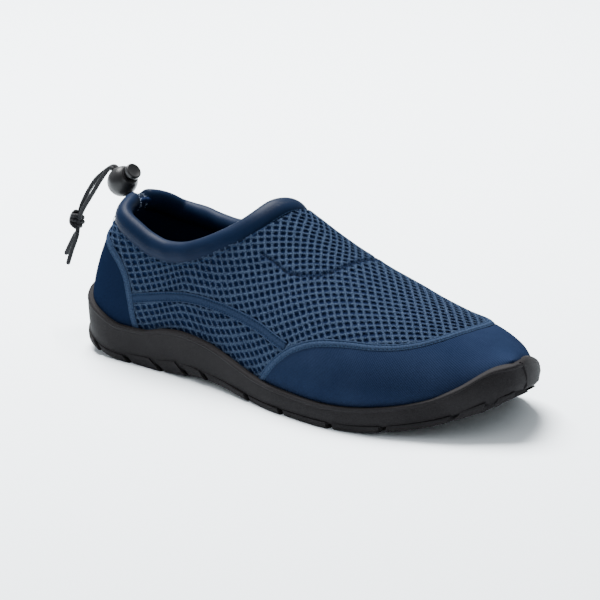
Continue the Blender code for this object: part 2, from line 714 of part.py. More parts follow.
def make_lock():
    """Barrel cord lock with a spring button, leaning forward on the collar's back."""
    lean = math.radians(LOCK_LEAN)
    half, radius, button = LOCK_HEIGHT / 2, LOCK_WIDTH / 2, BUTTON_WIDTH / 2
    lip = radius * 0.58
    stem = button * 0.66
    body = lathe("lock_body", [
        (0, -half), (radius * 0.45, -half * 0.96), (radius * 0.80, -half * 0.66),
        (radius * 0.98, -half * 0.20), (radius * 0.98, half * 0.20), (radius * 0.84, half * 0.62),
        (lip + 0.0006, half * 0.94), (lip, half), (stem + GAP, half), (stem + GAP, half * 0.62),
        (0, half * 0.62),
    ], 16)
    rise = BUTTON_RISE
    knob = lathe("lock_button", [
        (0, half * 0.62 + GAP), (stem, half * 0.62 + GAP), (stem, half + rise * 0.42),
        (button, half + rise * 0.48), (button, half + rise * 0.90), (button * 0.90, half + rise),
        (0, half + rise),
    ], 16)
    for piece in (body, knob):
        piece.location = LOCK_CENTRE
        piece.rotation_euler = (0, lean, 0)
        finish(piece, (0.010, 0.010, 0.011), 0.4, smooth_angle=35)
    width, tall = CORD * 1.45, CORD / 2 + 3 * GAP
    outline = [(width, tall), (-width, tall), (-width, -tall), (width, -tall)]
    reach = LOCK_WIDTH
    hole = cutter(skin("lock_hole_form", [[Vector((x, y, z)) for y, z in outline] for x in (-reach, reach)]))
    hole.location = LOCK_CENTRE
    hole.rotation_euler = (0, lean, 0)
    combine(body, "DIFFERENCE", hole)


def make_knot():
    """Overhand knot that ties the two strands, drawn as its three wraps on a core."""
    core = lathe("drawcord_knot", [
        (0, -0.0056), (0.0022, -0.0054), (0.0034, -0.0030), (0.0040, 0.0010), (0.0036, 0.0040),
        (0.0022, 0.0052), (0, 0.0054),
    ], 10)
    core.location = KNOT_CENTRE
    for height, tip, roll, size in KNOT_WRAPS:
        bpy.ops.mesh.primitive_torus_add(
            major_segments=10, minor_segments=6,
            major_radius=size + CORD * 0.35, minor_radius=CORD * 0.52,
            location=KNOT_CENTRE + Vector((0, 0, height)), rotation=(math.radians(tip), math.radians(roll), 0),
        )
        wrap = cutter(bpy.context.object)
        wrap.name = "wrap_form"
        combine(core, "UNION", wrap)
    finish(core, (0.012, 0.012, 0.013), 0.8)


def make_cords():
    routes = (
        ("drawcord_strand_a", STRAND_A), ("drawcord_strand_b", STRAND_B),
        ("drawcord_tail_a", TAIL_A), ("drawcord_tail_b", TAIL_B),
    )
    for name, route in routes:
        finish(cord(name, route), (0.012, 0.012, 0.013), 0.8)


for thing in list(bpy.data.objects):
    bpy.data.objects.remove(thing, do_unlink=True)
make_upper()
make_insole()
make_outsole()
make_overlays()
make_collar()
make_lock()
make_knot()
make_cords()
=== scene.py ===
"""Water shoe for the right foot: net upper, padded collar, rubber sole, drawcord with a cord lock."""
import math
import random

import bmesh
import bpy
import numpy as np
from mathutils import Matrix, Vector


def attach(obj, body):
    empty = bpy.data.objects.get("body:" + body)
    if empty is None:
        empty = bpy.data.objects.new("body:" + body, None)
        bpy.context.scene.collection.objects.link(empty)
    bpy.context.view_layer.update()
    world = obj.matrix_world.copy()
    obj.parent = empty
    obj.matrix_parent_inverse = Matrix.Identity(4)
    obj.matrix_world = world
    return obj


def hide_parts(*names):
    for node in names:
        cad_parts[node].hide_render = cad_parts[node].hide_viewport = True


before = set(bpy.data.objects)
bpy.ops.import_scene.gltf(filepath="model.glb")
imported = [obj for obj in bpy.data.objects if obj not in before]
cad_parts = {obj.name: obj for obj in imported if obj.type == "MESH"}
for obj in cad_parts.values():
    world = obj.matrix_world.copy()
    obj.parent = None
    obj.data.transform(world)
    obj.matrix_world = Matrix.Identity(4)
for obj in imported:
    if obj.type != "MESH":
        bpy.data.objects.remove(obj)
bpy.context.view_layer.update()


# The camera looks at the little-toe side from in front, a little above the shoe, and stands slightly
# rolled as the photograph does.
turn, tilt, roll = math.radians(45.804), math.radians(15.57), math.radians(-1.99)
behind = Vector((math.sin(turn) * math.cos(tilt), -math.cos(turn) * math.cos(tilt), math.sin(tilt)))
level = Vector((math.cos(turn), math.sin(turn), 0))
rise = behind.cross(level)
camera = bpy.data.objects.new("camera", bpy.data.cameras.new("camera"))
bpy.context.scene.collection.objects.link(camera)
camera.matrix_world = Matrix((
    level * math.cos(roll) + rise * math.sin(roll),
    rise * math.cos(roll) - level * math.sin(roll),
    behind,
)).transposed().to_4x4()
camera.location = (2.0696, -1.9292, 0.8129)
camera.data.sensor_width, camera.data.lens = 36, 345.47
bpy.context.scene.camera = camera


# The drawcord is a black round braid. Its two runs leave the notch at the collar's centre back, pass
# through the cord lock, are tied in one knot, and end in two short tails.
MM = 0.001
CORD = 2.3 * MM
LOOP_A = [
    (-0.0305, 0.0026, 0.0772), (-0.0335, 0.0020, 0.0756), (-0.0362, 0.0015, 0.0757),
    (-0.0380, 0.00135, 0.0775), (-0.0420, 0.00135, 0.0826), (-0.0460, 0.00135, 0.0877),
    (-0.0486, 0.0015, 0.0892), (-0.0522, 0.0018, 0.0882), (-0.0580, 0.0021, 0.0846),
    (-0.0643, 0.0021, 0.0798), (-0.0696, 0.0020, 0.0737), (-0.0737, 0.0018, 0.0678),
    (-0.0762, 0.0016, 0.0632), (-0.0776, 0.0012, 0.0585), (-0.0785, 0.0011, 0.0540),
    (-0.0793, 0.0012, 0.0498), (-0.0815, 0.0014, 0.0476), (-0.0858, 0.0018, 0.0420),
    (-0.0905, 0.0022, 0.0352),
]
LOOP_B = [(x, -y, z) for x, y, z in LOOP_A[:6]] + [
    (-0.0487, -0.0016, 0.0890), (-0.0515, -0.0019, 0.0870), (-0.0567, -0.0021, 0.0811),
    (-0.0620, -0.0021, 0.0745), (-0.0674, -0.0018, 0.0682), (-0.0712, -0.0016, 0.0636),
    (-0.0742, -0.0013, 0.0590), (-0.0760, -0.0012, 0.0540), (-0.0768, -0.0013, 0.0496),
    (-0.0776, -0.0015, 0.0470), (-0.0809, -0.0019, 0.0400), (-0.0843, -0.0023, 0.0318),
]


class Wire:
    """One value in a material, written as maths."""
    def __init__(self, paint, socket):
        self.paint, self.socket = paint, socket

    def maths(self, operation, other, swapped=False):
        pair = (other, self) if swapped else (self, other)
        return self.paint.node("ShaderNodeMath", {"operation": operation}, dict(enumerate(pair)))

    def __add__(self, other): return self.maths("ADD", other)
    def __radd__(self, other): return self.maths("ADD", other, True)
    def __sub__(self, other): return self.maths("SUBTRACT", other)
    def __rsub__(self, other): return self.maths("SUBTRACT", other, True)
    def __mul__(self, other): return self.maths("MULTIPLY", other)
    def __rmul__(self, other): return self.maths("MULTIPLY", other, True)

    def clipped(self):
        return self.paint.node("ShaderNodeClamp", {}, {"Value": self})

    def sine(self):
        return self.maths("SINE", 0.0)


class Paint:
    """One material and its nodes."""
    def __init__(self, name, roughness, **plain):
        self.material = bpy.data.materials.new(name)
        self.material.use_nodes = True
        self.nodes, self.links = self.material.node_tree.nodes, self.material.node_tree.links
        self.shader = self.nodes["Principled BSDF"]
        self.shader.inputs["Roughness"].default_value = roughness
        for socket, value in plain.items():
            self.shader.inputs[socket.replace("_", " ")].default_value = value

    def feed(self, socket, value):
        if isinstance(value, Wire):
            self.links.new(value.socket, socket)
        elif isinstance(value, tuple) and len(value) == 3 and socket.type == "RGBA":
            socket.default_value = (*value, 1)
        else:
            socket.default_value = value

    def node(self, kind, settings, sockets, out=0):
        """A node of any type, its settings first, then the values or links of its sockets."""
        node = self.nodes.new(kind)
        for name, value in settings.items():
            setattr(node, name, value)
        for name, value in sockets.items():
            self.feed(node.inputs[name], value)
        return Wire(self, node.outputs[out])

    def laid(self):
        """The piece's own map, in millimetres along and across it."""
        uv = self.node("ShaderNodeUVMap", {"uv_map": "laid"}, {})
        split = self.node("ShaderNodeSeparateXYZ", {}, {"Vector": uv}).socket.node
        return Wire(self, split.outputs["X"]), Wire(self, split.outputs["Y"])

    def painted_light(self):
        """Painted light and shade: how high a point stands in its own weave, from 0 to 1, drawn lighter on
        the crests and darker low down.
        """
        return self.node("ShaderNodeAttribute", {"attribute_name": "painted_light"}, {}, "Fac")

    def noise(self, scale, detail=3.0):
        place = self.node("ShaderNodeTexCoord", {}, {}, "Object")
        return self.node("ShaderNodeTexNoise", {}, {"Vector": place, "Scale": scale, "Detail": detail})

    def mix(self, share, low, high):
        """Colour between two colours."""
        return self.node("ShaderNodeMix", {"data_type": "RGBA"}, {"Factor": share, 6: low, 7: high}, 2)

    def colour(self, value):
        self.feed(self.shader.inputs["Base Color"], value)

    def flecked(self, scale, dark, light):
        self.colour(self.mix(self.noise(scale), dark, light))

    def rough(self, value):
        self.feed(self.shader.inputs["Roughness"], value)

    def relief(self, height, depth):
        """Bump from a height of 0 to 1 that stands for a depth in metres."""
        bump = self.node("ShaderNodeBump", {}, {"Height": height, "Distance": depth, "Strength": 1.0})
        self.feed(self.shader.inputs["Normal"], bump)


def put_mesh(name, points, faces, paint, laid=None, painted_light=None):
    """One object from points and faces, with its map in millimetres and its painted light and shade."""
    mesh = bpy.data.meshes.new(name)
    mesh.from_pydata([tuple(p) for p in points], [], [tuple(f) for f in faces])
    if laid is not None:
        layer = mesh.uv_layers.new(name="laid")
        corners = np.zeros(len(mesh.loops), int)
        mesh.loops.foreach_get("vertex_index", corners)
        layer.data.foreach_set("uv", np.asarray(laid, float)[corners].ravel())
    if painted_light is not None:
        layer = mesh.attributes.new("painted_light", "FLOAT", "POINT")
        layer.data.foreach_set("value", np.asarray(painted_light, np.float32))
    mesh.shade_smooth()
    piece = bpy.data.objects.new(name, mesh)
    bpy.context.scene.collection.objects.link(piece)
    mesh.materials.append(paint.material)
    return piece


def grid_faces(rows, columns, start=0, wrap=False):
    """Quads between the points of a grid."""
    faces = []
    for i in range(rows - 1):
        for j in range(columns if wrap else columns - 1):
            k = (j + 1) % columns
            a, b = start + i * columns, start + (i + 1) * columns
            faces.append((a + j, b + j, b + k, a + k))
    return faces


def tidy(piece, distance=1e-6, sharp=None):
    """Merge doubles, turn the faces out and set which edges look sharp."""
    bm = bmesh.new()
    bm.from_mesh(piece.data)
    bmesh.ops.remove_doubles(bm, verts=bm.verts, dist=distance)
    bmesh.ops.dissolve_degenerate(bm, edges=bm.edges, dist=distance)
    bmesh.ops.recalc_face_normals(bm, faces=bm.faces)
    if bm.calc_volume(signed=True) < 0:
        bmesh.ops.reverse_faces(bm, faces=bm.faces)
    bm.to_mesh(piece.data)
    bm.free()
    if sharp:
        piece.data.set_sharp_from_angle(angle=math.radians(sharp))
    return piece


cord_paint = Paint("black_braid", 0.7, Specular_IOR_Level=0.12)
PLAIT, STRANDS = 2.4, 6
run, round_it = cord_paint.laid()
braid = ((round_it * 2.09 + run * PLAIT).sine() * (round_it * 2.09 - run * PLAIT).sine() + 1) * 0.5
cord_paint.colour(cord_paint.mix(braid, (0.0015, 0.0015, 0.002), (0.012, 0.0125, 0.015)))
cord_paint.relief(braid + cord_paint.noise(3000) * 0.3, 0.15 * MM)


def smooth_line(points, step):
    """Evenly spaced points on a smooth curve through the given ones."""
    points = [Vector(p) for p in points]
    ends = [points[0] * 2 - points[1]] + points + [points[-1] * 2 - points[-2]]
    fine = [points[0]]
    for a, b, c, d in zip(ends, ends[1:], ends[2:], ends[3:]):
        for t in [(i + 1) / 24 for i in range(24)]:
            fine.append(0.5 * (2 * b + (c - a) * t + (2 * a - 5 * b + 4 * c - d) * t * t
                               + (3 * b - a - 3 * c + d) * t ** 3))
    fine = np.array(fine)
    run = np.r_[0, np.cumsum(np.linalg.norm(np.diff(fine, axis=0), axis=1))]
    at = np.linspace(0, run[-1], max(int(round(run[-1] / step)), 2) + 1)
    return np.stack([np.interp(at, run, fine[:, k]) for k in range(3)], -1), run[-1]


def braided_tube(name, points):
    """Round cord along a curve, with the low relief of its braid and rounded ends."""
    around, ripple = 24, 0.05
    line, length = smooth_line(points, 0.35 * MM)
    ahead = np.gradient(line, axis=0)
    ahead /= np.linalg.norm(ahead, axis=1)[:, None]
    side = np.cross(ahead[0], (0.3, 0.9, 0.2))
    rings, laid = [], []
    angles = np.arange(around) * 2 * math.pi / around
    for i, spot in enumerate(line):
        side = side - ahead[i] * (side @ ahead[i])
        side /= np.linalg.norm(side)
        other = np.cross(ahead[i], side)
        run = i * length / (len(line) - 1)
        end = min(run, length - run) / (CORD / 2)
        width = CORD / 2 * (math.sqrt(max(1 - (1 - end) ** 2, 0.02)) if end < 1 else 1)
        turn = run / MM * PLAIT
        weave = 1 + ripple * np.sin(angles * STRANDS + turn) * np.sin(angles * STRANDS - turn)
        rings.append(spot + (np.outer(np.cos(angles), side) + np.outer(np.sin(angles), other))
                     * (width * weave)[:, None])
        laid += [(run / MM, a * CORD / 2 / MM * 2.5) for a in angles]
    faces = [quad[::-1] for quad in grid_faces(len(line), around, wrap=True)]
    last_ring = (len(line) - 1) * around
    faces += [tuple(reversed(range(around))), tuple(range(last_ring, last_ring + around))]
    return put_mesh(name, np.concatenate(rings), faces, cord_paint, laid), line, length


cords = {}
for name, loop in (("drawcord_a", LOOP_A), ("drawcord_b", LOOP_B)):
    piece, line, length = braided_tube(name, loop)
    cords[name] = (piece, line, length, loop[0])
    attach(piece, "root")
    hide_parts("drawcord_strand_" + name[-1], "drawcord_tail_" + name[-1])

# The knot is an overhand knot of both runs: they lie close round themselves in three wraps, pulled tight,
# with one wrap crossing over the others.
KNOT = Vector((-0.0776, 0.0, 0.0566))
wraps = []
for share in [i / 40 for i in range(41)]:
    angle = 2 * math.pi * (3.1 * share + 0.1)
    wide = (2.45 + 0.3 * math.sin(math.pi * share)) * MM * min(1, 0.35 + 6 * share, 0.35 + 6 * (1 - share))
    wraps.append(KNOT + Vector((
        wide * math.cos(angle), wide * math.sin(angle),
        (3.6 - 7.4 * share) * MM + 0.9 * MM * math.cos(angle + 0.8),
    )))
crossing = [
    KNOT + Vector(p) * MM for p in (
        (-0.6, 1.2, 4.4), (-2.6, 0.2, 3.2), (-3.0, -1.3, 0.8), (-1.6, -2.9, -1.2), (0.7, -2.9, -2.8),
        (1.2, -1.2, -4.0))
]
knot, over = braided_tube("knot_wraps", wraps)[0], braided_tube("knot_crossing", crossing)[0]
for piece in (knot, over):
    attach(piece, "root")
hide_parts("drawcord_knot")


# The cord lock is a black moulded ball with a flat top, a hole right through it for both runs, and a
# spring button in its top. It leans forward on the back of the collar.
lock_paint = Paint("black_moulding", 0.36, Specular_IOR_Level=0.25)
scuff = lock_paint.noise(260, 5)
lock_paint.colour(lock_paint.mix(scuff, (0.0025, 0.0025, 0.003), (0.007, 0.007, 0.008)))
lock_paint.rough(scuff * 0.25 + 0.27)
lock_paint.relief(lock_paint.noise(2600), 0.03 * MM)
lock_place = Matrix.Translation((-0.0420, 0, 0.0826)) @ Matrix.Rotation(math.radians(52), 4, "Y")
HOLE_WIDE, HOLE_HIGH = 6.6 * MM, 4.0 * MM


def turned(name, profile):
    """Turned piece from radii and heights in millimetres, from one end of its axis to the other."""
    angles = [2 * math.pi * k / 64 for k in range(64)]
    points = [(r * math.cos(a) * MM, r * math.sin(a) * MM, h * MM) for r, h in profile for a in angles]
    faces = [quad[::-1] for quad in grid_faces(len(profile), len(angles), wrap=True)]
    return put_mesh(name, points, faces, lock_paint)


def arc_profile(points, count):
    """A smooth profile through given radii and heights."""
    line, _ = smooth_line([(r, h, 0) for r, h in points], 1e-9 + sum(
        math.dist(a, b) for a, b in zip(points, points[1:])) / count)
    return [(max(r, 0.0), h) for r, h, _ in line]


shell_profile = arc_profile(
    [(0, -7.4), (3.4, -7.1), (6.1, -4.9), (7.6, -1.6), (7.7, 1.4), (6.7, 4.6), (5.2, 6.8)], 26)
shell_profile += [(5.0, 7.2), (4.65, 7.35), (3.5, 7.35), (3.25, 7.2), (3.2, 4.8), (0, 4.8)]
lock = tidy(turned("lock_ball", shell_profile))
lock.data.transform(lock_place)
bpy.ops.object.select_all(action="DESELECT")
bpy.ops.mesh.primitive_cube_add(size=1)
hole = bpy.context.object
hole.scale = (30 * MM, HOLE_WIDE, HOLE_HIGH)
bpy.ops.object.transform_apply(location=False, rotation=False, scale=True)
bevel = hole.modifiers.new("round", "BEVEL")
bevel.width, bevel.segments = 1.9 * MM, 5
bpy.ops.object.modifier_apply(modifier="round")
hole.data.transform(lock_place)
cut = lock.modifiers.new("hole", "BOOLEAN")
cut.operation, cut.solver, cut.object = "DIFFERENCE", "EXACT", hole
bpy.ops.object.select_all(action="DESELECT")
bpy.context.view_layer.objects.active = lock
lock.select_set(True)
bpy.ops.object.modifier_apply(modifier="hole")
bpy.data.objects.remove(hole)
lock.data.set_sharp_from_angle(angle=math.radians(38))
button = tidy(turned("lock_push_button", [
    (0, 5.0), (2.9, 5.0), (2.9, 9.3), (4.0, 9.45), (4.3, 9.8), (4.3, 11.4), (4.15, 11.75), (3.75, 11.95),
    (3.3, 11.9), (3.0, 11.7), (0, 11.75)]), sharp=50)
button.data.transform(lock_place)
for piece, node in ((lock, "lock_body"), (button, "lock_button")):
    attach(piece, "root")
    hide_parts(node)
piece, line, length, start = cords["drawcord_a"]
piece, line, length, start = cords["drawcord_b"]


# The lining is the dark cloth under the net, one hollow wall over the whole last. Every cloth layer lies
# on the same last: a place on it is a share of the length, a side (-1 little toe, 1 big toe) and a share
# of the quarter turn from the feather edge up to the ridge.
LENGTH, BALL, INSTEP, FOOTBED, HEEL = 0.284, 0.100, 0.071, 0.0105, 0.052
THROAT = 0.133 / LENGTH
OUTER, INNER = -1.0, 1.0
LENGTH_MM, QUARTER_MM = 284, 96
# Along, the widths to the outer and inner side, base, ridge, the ridge's place across, and swell.
SECTIONS = np.array([
    (0.00, 0.315, 0.307, 1.51, 1.655, 0.000, 0.00), (0.08, 0.322, 0.316, 1.42, 1.634, 0.003, 0.00),
    (0.18, 0.324, 0.317, 1.32, 1.585, 0.004, 0.00), (0.30, 0.337, 0.309, 1.23, 1.435, 0.012, 0.00),
    (0.40, 0.370, 0.333, 1.13, 1.198, 0.038, 0.00), (0.50, 0.428, 0.390, 1.04, 1.001, 0.053, -0.01),
    (0.60, 0.483, 0.449, 0.99, 0.810, 0.055, 0.02), (0.70, 0.507, 0.491, 1.04, 0.640, 0.056, 0.05),
    (0.80, 0.482, 0.494, 1.23, 0.500, 0.058, 0.05), (0.90, 0.413, 0.458, 1.51, 0.361, 0.068, 0.03),
    (0.95, 0.365, 0.420, 1.70, 0.290, 0.050, 0.03), (1.00, 0.316, 0.386, 1.90, 0.246, 0.000, 0.03),
])
# From the throat to the back: depth below the ridge, outer and inner, then the roll's height, the same way.
TOPLINE = np.array([
    (0.000, 0.000, 0.000, 1.06, 1.06), (0.100, 0.195, 0.205, 1.08, 1.08), (0.210, 0.338, 0.352, 1.08, 1.06),
    (0.335, 0.486, 0.488, 1.04, 1.04), (0.446, 0.592, 0.590, 1.00, 1.00), (0.547, 0.684, 0.672, 0.95, 0.95),
    (0.637, 0.731, 0.722, 0.92, 0.90), (0.735, 0.750, 0.745, 0.92, 0.82), (0.862, 0.715, 0.742, 0.92, 0.90),
    (0.940, 0.698, 0.738, 0.94, 0.86), (1.000, 0.682, 0.686, 1.02, 1.02),
])


def read(rows, column, at):
    """Value of a table's column at a place in its first column, on a curve that never overshoots."""
    xs, ys = rows[:, 0], rows[:, column]
    at = np.clip(at, xs[0], xs[-1])
    k = np.clip(np.searchsorted(xs, at, side="right") - 1, 0, len(xs) - 2)
    steps = np.diff(ys) / np.diff(xs)
    before, after = np.r_[steps[0], steps], np.r_[steps, steps[-1]]
    both = before * after
    slope = np.where(both > 0, 2 * both / np.where(both > 0, before + after, 1), 0)
    span = xs[k + 1] - xs[k]
    t = (at - xs[k]) / span
    ease = t * t * (3 - 2 * t)
    return ys[k] + (ys[k + 1] - ys[k]) * ease + t * (1 - t) * ((1 - t) * slope[k] - t * slope[k + 1]) * span


def last(along, side, quarter):
    """Point of the last's surface."""
    along = np.clip(along, 0, 1)
    x, swing = along * LENGTH, quarter * math.pi / 2
    base, ridge = FOOTBED * read(SECTIONS, 3, along), INSTEP * read(SECTIONS, 4, along)
    heel = 1 - np.minimum(x / 0.0322, 1)
    sweep = np.where(side < 0, 0.077, 0.044)
    toe = np.clip((x - LENGTH + sweep) / sweep, 0, 1)
    plan = (1 - heel ** 2.15) ** (1 / 2.15) * (1 - toe ** 1.92) ** (1 / 1.92)
    width = BALL * np.where(side < 0, read(SECTIONS, 1, along), read(SECTIONS, 2, along)) * plan
    swell = 1 + read(SECTIONS, 6, along) * np.sin(2 * swing) ** 2
    tuck = 1 - 0.05 * np.maximum(0, 1 - quarter / 0.22) ** 2
    middle = -0.0017 * (np.maximum(along - 0.35, 0) / 0.65) ** 2
    y = (BALL * read(SECTIONS, 5, along) * np.sin(swing) ** 2 + side * width * np.cos(swing) * swell) * tuck
    z = base + ridge * np.sin(swing) * swell
    lean = 0.020 * np.clip((z - 0.024) / 0.045, 0, 2) ** 1.5
    lean = lean + 0.0039 * (np.maximum(0.024 - z, 0) / 0.024) ** 2
    return np.stack([x - HEEL + lean * np.maximum(1 - x / 0.095, 0) ** 2, y + middle, z], -1)


def facing(along, side, quarter):
    """Outward direction of the last's surface, read across the heel, the toe and the ridge."""
    def near(a, s, q):
        s = np.where(a < 0, -s, s)
        a = np.abs(a)
        s = np.where(a > 1, -s, s)
        a = np.where(a > 1, 2 - a, a)
        s = np.where(q > 1, -s, s)
        return last(a, s, np.where(q > 1, 2 - q, q))

    length = near(along + 0.004, side, quarter) - near(along - 0.004, side, quarter)
    height = near(along, side, quarter + 0.012) - near(along, side, quarter - 0.012)
    out = np.cross(length, height) * -np.asarray(side)[..., None]
    out /= np.maximum(np.linalg.norm(out, axis=-1), 1e-12)[..., None]
    nose = np.clip((along - 0.97) / 0.03, 0, 1) * np.clip((quarter - 0.6) / 0.4, 0, 1)
    out = out + (np.array((0.8, 0.0, 0.6)) - out) * nose[..., None]
    return out / np.maximum(np.linalg.norm(out, axis=-1), 1e-12)[..., None]


# Creases and pulls of the worn net: along, quarter at both ends, width and depth in mm.
CREASES = [
    (OUTER, 0.425, 0.430, 0.520, 0.560, 3.2, -0.55), (OUTER, 0.350, 0.300, 0.475, 0.395, 4.0, -0.35),
    (OUTER, 0.255, 0.245, 0.330, 0.165, 3.5, -0.30), (OUTER, 0.560, 0.420, 0.640, 0.600, 5.0, 0.35),
    (INNER, 0.430, 0.440, 0.520, 0.570, 3.2, -0.50), (INNER, 0.345, 0.290, 0.470, 0.400, 4.0, -0.35),
    (OUTER, 0.205, 0.300, 0.250, 0.210, 3.0, 0.25), (INNER, 0.210, 0.290, 0.255, 0.200, 3.0, 0.25),
]
VAMP_SEAM = np.array([
    (0.473, 0.579), (0.503, 0.595), (0.533, 0.595), (0.563, 0.633), (0.595, 0.714), (0.607, 0.799),
    (0.611, 0.911), (0.611, 1.0),
])


def seam_distance(along, quarter):
    """Millimetres from the sewn line over the vamp."""
    fine = np.linspace(0, len(VAMP_SEAM) - 1, 90)
    rows = np.stack([np.interp(fine, range(len(VAMP_SEAM)), VAMP_SEAM[:, k]) for k in (0, 1)], -1)
    away = np.full(np.shape(along), 1e3)
    for a, q in rows:
        away = np.minimum(away, np.hypot((along - a) * LENGTH_MM, (quarter - q) * QUARTER_MM))
    return away


def slack(along, side, quarter):
    """How far the cloth stands off the last, in millimetres, from its creases and the vamp's seam."""
    off = np.zeros(np.shape(along))
    for which, a, qa, b, qb, wide, deep in CREASES:
        run = np.array([(b - a) * LENGTH_MM, (qb - qa) * QUARTER_MM])
        spot = np.stack([(along - a) * LENGTH_MM, (quarter - qa) * QUARTER_MM], -1)
        share = np.clip(spot @ run / (run @ run), -0.1, 1.1)
        away = np.linalg.norm(spot - share[..., None] * run, axis=-1)
        fade = np.sin(math.pi * np.clip((share + 0.1) / 1.2, 0, 1)) ** 0.7
        off += np.where(side == which, deep * fade * np.exp(-(away / wide) ** 2), 0)
    away = seam_distance(along, quarter)
    return off - 0.70 * np.exp(-(away / 1.0) ** 2) + 0.22 * np.exp(-((away - 2.4) / 1.1) ** 2)


def lifted(along, side, quarter, lift, creased=True):
    """Points at a height over the last, in millimetres."""
    along, side, quarter = np.broadcast_arrays(np.asarray(along, float), side, quarter)
    if creased:
        lift = lift + slack(along, side, quarter)
    out = facing(along, side, quarter)
    return last(along, side, quarter) + out * (np.broadcast_to(lift, along.shape) * MM)[..., None]


def topline(along, side):
    """Quarter turn of the opening's edge, which is the ridge beyond the throat."""
    back = np.sqrt(np.clip(1 - along / THROAT, 0, 1))
    edge = 1 - np.where(side < 0, read(TOPLINE, 1, back), read(TOPLINE, 2, back))
    return np.where(along >= THROAT, 1.0, edge)


def under_collar(along, side):
    """The cloth's top edge, which runs a little way up inside the collar's roll."""
    return np.minimum(topline(along, side) + 0.035, 1.0)


lining_paint = Paint("dark_lining", 0.9, Specular_IOR_Level=0.05)
lining_paint.flecked(900, (0.0012, 0.0050, 0.0200), (0.0020, 0.0080, 0.0300))
lining_paint.relief(lining_paint.noise(1800), 0.1 * MM)
LINING_FACES = (-0.75, -2.8)
stations = np.r_[THROAT * (1 - np.cos(np.linspace(0, math.pi, 60))) / 2,
                 THROAT + (1 - THROAT) * np.sin(np.linspace(0, math.pi / 2, 80))[1:]]
shares = np.linspace(0, 1, 44)
points, faces = [], []
for side in (OUTER, INNER):
    along = np.repeat(stations[:, None], len(shares), 1)
    quarter = shares[None] * under_collar(stations, side)[:, None]
    for lift in LINING_FACES:
        faces += grid_faces(*along.shape, start=len(points))
        points += list(lifted(along, side, quarter, lift).reshape(-1, 3))
    count = len(stations) * len(shares)
    first = len(points) - 2 * count
    for row in (0, len(shares) - 1):
        for i in range(len(stations) - 1):
            a, b = first + i * len(shares) + row, first + (i + 1) * len(shares) + row
            if row == 0 or stations[i + 1] <= THROAT + 1e-9:
                faces.append((a, b, b + count, a + count))
lining = tidy(put_mesh("lining", points, faces, lining_paint))
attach(lining, "root")
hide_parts("upper")


# The net is a knitted navy mesh with slanted rows of round holes. Its yarns cross between the holes and
# stand a little proud. It is sewn in at the collar, the tapes and the rand.
# Along, then the heights of the rand's top and of the underside, in shares of 20 mm and of 16.5 mm.
SOLE = np.array([
    (0.00, 1.64, 0.57), (0.04, 1.40, 0.33), (0.08, 1.19, 0.16), (0.14, 0.94, 0.00), (0.20, 0.96, 0.00),
    (0.25, 1.12, 0.00), (0.30, 1.19, 0.08), (0.37, 1.13, 0.18), (0.45, 0.92, 0.12), (0.53, 0.70, 0.02),
    (0.57, 0.65, 0.00), (0.70, 0.59, 0.00), (0.76, 0.62, 0.02), (0.84, 0.76, 0.17), (0.90, 0.97, 0.38),
    (0.94, 1.27, 0.62), (0.98, 1.70, 0.86), (1.00, 1.80, 1.00),
])
TOE_SEAM = np.array([
    (0.530, 0.000), (0.557, 0.080), (0.585, 0.166), (0.623, 0.270), (0.677, 0.378), (0.733, 0.452),
    (0.785, 0.500), (0.825, 0.571), (0.850, 0.680), (0.864, 0.840), (0.868, 1.000),
])
COUNTER_SEAM = np.array([
    (0.182, 0.000), (0.170, 0.055), (0.162, 0.110), (0.148, 0.168), (0.117, 0.216), (0.065, 0.252),
    (0.020, 0.266), (0.004, 0.270), (0.000, 0.271),
])
SIDE_SEAM = np.array([
    (0.165, 0.112), (0.213, 0.135), (0.265, 0.162), (0.319, 0.189), (0.371, 0.216), (0.425, 0.239),
    (0.479, 0.257), (0.535, 0.267), (0.604, 0.262),
])


def rand_top(along):
    """Height of the rand's top edge over the floor."""
    return 0.020 * read(SOLE, 1, along)


def quarter_at(along, z):
    """Quarter turn at which the last's section reaches a height."""
    base, ridge = FOOTBED * read(SECTIONS, 3, along), INSTEP * read(SECTIONS, 4, along)
    return np.arcsin(np.clip((z - base) / ridge, 0, 1)) / (math.pi / 2)


def net_shows(along, side, quarter):
    """Where the net lies: between collar and rand, clear of the toe panel and the heel counter."""
    toe = np.where(along - 0.003 > 0.868, 2, np.where(along < 0.533, -1, read(TOE_SEAM, 1, along - 0.003)))
    heel = np.where(along + 0.003 > 0.182, -1, read(COUNTER_SEAM[::-1], 1, along + 0.003))
    edge = topline(along, side) + np.where(along < THROAT, 0.03, 0.1)
    return ((quarter + 0.012 > toe) & (quarter + 0.010 > heel) & (quarter < edge)
            & (quarter > quarter_at(along, rand_top(along)) - 0.03))


ROW, PITCH = 2.45, 6.1
HOLE_LONG, HOLE_SHORT, CORNERS = 1.34, 1.06, 16
path_along = np.linspace(0.0, 0.9, 600)
path = np.linalg.norm(np.diff(last(path_along, OUTER, 0.45), axis=0), axis=1) / MM
path = np.r_[0, np.cumsum(path)]
arc_quarters = np.linspace(1, 0, 160)
arcs = {}
for side in (OUTER, INNER):
    spots = last(path_along[:, None], side, arc_quarters[None])
    steps = np.linalg.norm(np.diff(spots, axis=1), axis=2) / MM
    arcs[side] = np.concatenate([np.zeros((len(path_along), 1)), np.cumsum(steps, 1)], 1)


